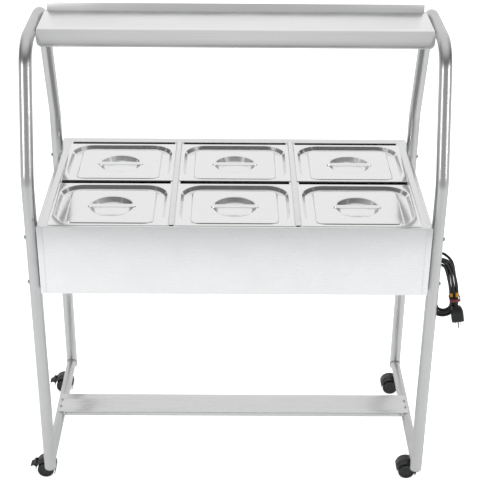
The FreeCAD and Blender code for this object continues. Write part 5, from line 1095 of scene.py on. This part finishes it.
strap_red = finish("dark red webbing", woven_strap, IOR=1.5)
bm = bmesh.new()
lofted(bm, [
    (15.4, 16.1, 5, -4.2), (15.4, 16.1, 5, 4.2), (15.1, 15.8, 4.7, 4.5), (13.9, 14.6, 3.5, 4.5),
    (13.6, 14.3, 3.2, 4.2), (13.6, 14.3, 3.2, -4.2), (13.9, 14.6, 3.5, -4.5), (15.1, 15.8, 4.7, -4.5)
], hank(32.3, -44, 88.1), hank_across, rearward, 8, closed=True)
lofted(bm, eased([(6.6, 3.5, 1.4, -0.1), (6.9, 3.9, 1.6, 0.2), (6.9, 3.9, 1.6, 0.8), (6.4, 3.4, 1.3, 1.1)],
                 (0.1, 0.2), 3), hank(31, -44, 72.1), hank_across, hank_along)
tie_strap = as_object("hank_strap", bm)
dress(tie_strap, "counter", "red_plastic", strap_red, "cord_tie")

# Orange-yellow tag film, a little translucent and creased, with nothing on it
TAG_REACH = 0.0075
CREASES = (0.003, 0.003, 0.0012)
orange_film = finish("orange tag film", mottled, "#e0961a", "#f5bd3c", CREASES, 0.42, 3,
                     (CREASES, 0.0002, 0.6, 3), IOR=1.5)
bm = bmesh.new()
for middle in (hank(24.2, -31, FRONT_LAYER), hank(39.9, -31, 83.2)):
    near = [spot for spot in centre_line if (spot - middle).length < TAG_REACH]
    path = [(spot, (near[-1] - near[0]).normalized()) for spot in near]
    swept(bm, path, hank_across, (CORD_RADIUS + 0.45) / 1000, 32)
tag = as_object("blank_tag", bm)
dress(tag, "counter", "light_plastic", orange_film)

# Plug: a black moulded plug on the cord's end, with a ringed neck, finger grips on its body, two
# flat blades sleeved at their feet, and a round earth pin.
PLUG_NECK, PLUG_SHOULDER, PLUG_END = 9, 21, 54
plug_way = (hank(34.2, -70, 74) - TAIL_END).normalized()
plug_across = (hank_across - plug_way * hank_across.dot(plug_way)).normalized()
plug_tall = plug_way.cross(plug_across)
neck = [(4.9, 0)]
for ring in range(3):
    reach, start = 5.2 + 0.6 * ring, 3.4 * ring
    neck += [(reach, start + 0.4), (reach, start + 2.5)]
    neck += [(reach - 0.8, start + 2.7), (reach - 0.8, start + 3.5)]
neck.append((7, PLUG_NECK + 2))
grips = eased([(11, 7, 5.6, PLUG_NECK), (12.6, 8, 6, PLUG_NECK + 1.2), (16.8, 12, 6, PLUG_SHOULDER),
               (17.5, 12.5, 6, 28)], (0.8, 4), 4)
for start in range(31, 47, 3):
    grips += [(17.5, 12.5, 6, start), (16.8, 12.5, 6, start + 0.5), (16.8, 12.5, 6, start + 1.5),
              (17.5, 12.5, 6, start + 2)]
grips += [(17.5, 12.5, 6, 53), (17.2, 12.2, 5.8, 53.7), (16.5, 11.5, 5.2, PLUG_END)]
plug_face = TAIL_END + plug_way * PLUG_END / 1000
blade_feet = [plug_face + (plug_across * off - plug_tall * 2.7) / 1000 for off in (-6.35, 6.35)]
bm = bmesh.new()
for rows in ([(reach, reach, reach, distance) for reach, distance in neck], grips):
    lofted(bm, rows, TAIL_END, plug_across, plug_tall, 8)
for foot in blade_feet:
    lofted(bm, [(1.5, 3.9, 0.7, -1), (1.4, 3.8, 0.6, 5), (1.1, 3.5, 0.4, 5.4)], foot, plug_across, plug_tall)
plug = as_object("moulded_plug", bm, 40)
dress(plug, "counter", "black_plastic", flex, "power_plug")
# Nickel plate, wiped bright along the blades
nickel = finish("bright nickel plate", mottled, "#918d85", "#aba79f", (0.001, 0.001, 0.012), (0.16, 0.3),
                Metallic=1)
bm = bmesh.new()
blade = [(0.75, 3.15, 0.3, -1), (0.75, 3.15, 0.3, 15.6), (0.35, 2.5, 0.2, 17)]
for foot in blade_feet:
    lofted(bm, blade, foot, plug_across, plug_tall)
earth_pin = eased([(0, -1), (2.4, -1), (2.4, 20), (0, 20)], (0, 1.6))
turned(bm, earth_pin, plug_face + plug_tall * 5.3 / 1000, plug_way, 32)
blades = as_object("plug_blades", bm)
dress(blades, "counter", "zinc_steel", nickel)

# Floor, backdrop, lamps and camera: a pale studio sweep seen from standing height in front. The
# room is white above and behind, and darker in front, where the photographer stands.
FLOOR_REACH = 30


def rays(tree):
    """The light path's outputs, and whether a ray is the camera's own or has come through glass."""
    ray = add(tree, "ShaderNodeLightPath").node.outputs
    return ray, reckon(tree, "MAXIMUM", ray["Is Camera Ray"], ray["Is Transmission Ray"])


def white_paper(tree):
    """White paper, bright to the camera. Steel mirrors it dimly, and not at all far in front."""
    ray, shown = rays(tree)
    depth = add(tree, "ShaderNodeSeparateXYZ", {"Vector": place(tree)}).node.outputs["Y"]
    mirrored = reckon(tree, "MULTIPLY", ray["Is Glossy Ray"], ranged(tree, depth, 0, 0.34, -4.4, -3.2))
    return {"Base Color": linear("#f4f4f4"), "Roughness": 0.8, "Emission Color": (1, 1, 1, 1),
            "Emission Strength": reckon(tree, "MULTIPLY_ADD", shown, 0.78, mirrored)}


floor_mesh = bpy.data.meshes.new("studio_floor")
corners = ((-1, -1), (1, -1), (1, 1), (-1, 1))
floor_mesh.from_pydata([(x * FLOOR_REACH, y * FLOOR_REACH, 0) for x, y in corners], [], [(0, 1, 2, 3)])
floor_mesh.materials.append(finish("white paper sweep", white_paper))
placed("studio_floor", floor_mesh)

world = bpy.data.worlds.new("studio")
bpy.context.scene.world = world
world.use_nodes = True
sky = world.node_tree
sky.nodes.clear()
ray, shown = rays(sky)
direction = add(sky, "ShaderNodeTexCoord").node.outputs["Generated"]
# What steel mirrors, by height on a leaning axis: a grey room, a dark band, and a white ceiling
lean = add(sky, "ShaderNodeVectorMath", {0: direction, 1: (0, 0.42, 1)}, operation="DOT_PRODUCT")
room = add(sky, "ShaderNodeValToRGB", {"Fac": lean.node.outputs["Value"]})
ramp = room.node.color_ramp
ramp.interpolation = "EASE"
ramp.elements[0].color = (0.55, 0.55, 0.55, 1)
for stop, tone in ((0.1, 0.55), (0.24, 0.14), (0.47, 0.14), (0.63, 0.58)):
    ramp.elements.new(stop).color = (tone, tone, tone, 1)
backward = add(sky, "ShaderNodeSeparateXYZ", {"Vector": direction}).node.outputs["Y"]
behind = add(sky, "ShaderNodeMapRange", {"Value": backward, "From Min": 0.56, "From Max": 0.74},
             interpolation_type="SMOOTHSTEP")
room = add(sky, "ShaderNodeMix", {"Factor": behind, 6: room, 7: (1, 1, 1, 1)}, data_type="RGBA")
white = add(sky, "ShaderNodeBackground", {"Color": (1, 1, 1, 1), "Strength": 1})
mirrored = add(sky, "ShaderNodeBackground", {"Color": room.node.outputs[2], "Strength": 1})
soft = add(sky, "ShaderNodeBackground", {"Color": (0.9, 0.92, 0.95, 1), "Strength": 0.55})
unseen = add(sky, "ShaderNodeMixShader", {0: ray["Is Glossy Ray"], 1: soft, 2: mirrored})
whole = add(sky, "ShaderNodeMixShader", {0: shown, 1: unseen, 2: white})
add(sky, "ShaderNodeOutputWorld", {"Surface": whole})

for name, spot, aim, size, power in (
    ("key_softbox", (-2.9, -2.3, 2.0), 0.9, 0.8, 24),
    ("fill_softbox", (3.2, -1.9, 1.9), 0.8, 0.8, 20),
    ("top_softbox", (0, 0.9, 3.4), 0.9, 2.2, 40),
):
    light = bpy.data.lights.new(name, "AREA")
    light.shape = "DISK"
    light.size = size
    light.energy = power
    lamp = placed(name, light)
    lamp.location = spot
    lamp.rotation_euler = (Vector((0, 0, aim)) - Vector(spot)).to_track_quat("-Z", "Y").to_euler()
    lamp.visible_glossy = name != "top_softbox"

YAW, PITCH, ROLL = math.radians(0.39), math.radians(27.855), math.radians(0.482)
CAMERA = (0.01787, -3.22139, 2.39983)
forward = Vector((math.sin(YAW) * math.cos(PITCH), math.cos(YAW) * math.cos(PITCH), -math.sin(PITCH)))
level = Vector((math.cos(YAW), -math.sin(YAW), 0))
upward = level.cross(forward)
right = level * math.cos(ROLL) + upward * math.sin(ROLL)
top = upward * math.cos(ROLL) - level * math.sin(ROLL)
lens = bpy.data.cameras.new("camera")
lens.lens = 91.38
lens.sensor_width = 36
lens.clip_end = 60
camera = placed("camera", lens)
camera.matrix_world = Matrix.Translation(CAMERA) @ Matrix((right, top, -forward)).transposed().to_4x4()
bpy.context.scene.camera = camera
bpy.context.scene.view_settings.view_transform = "Standard"
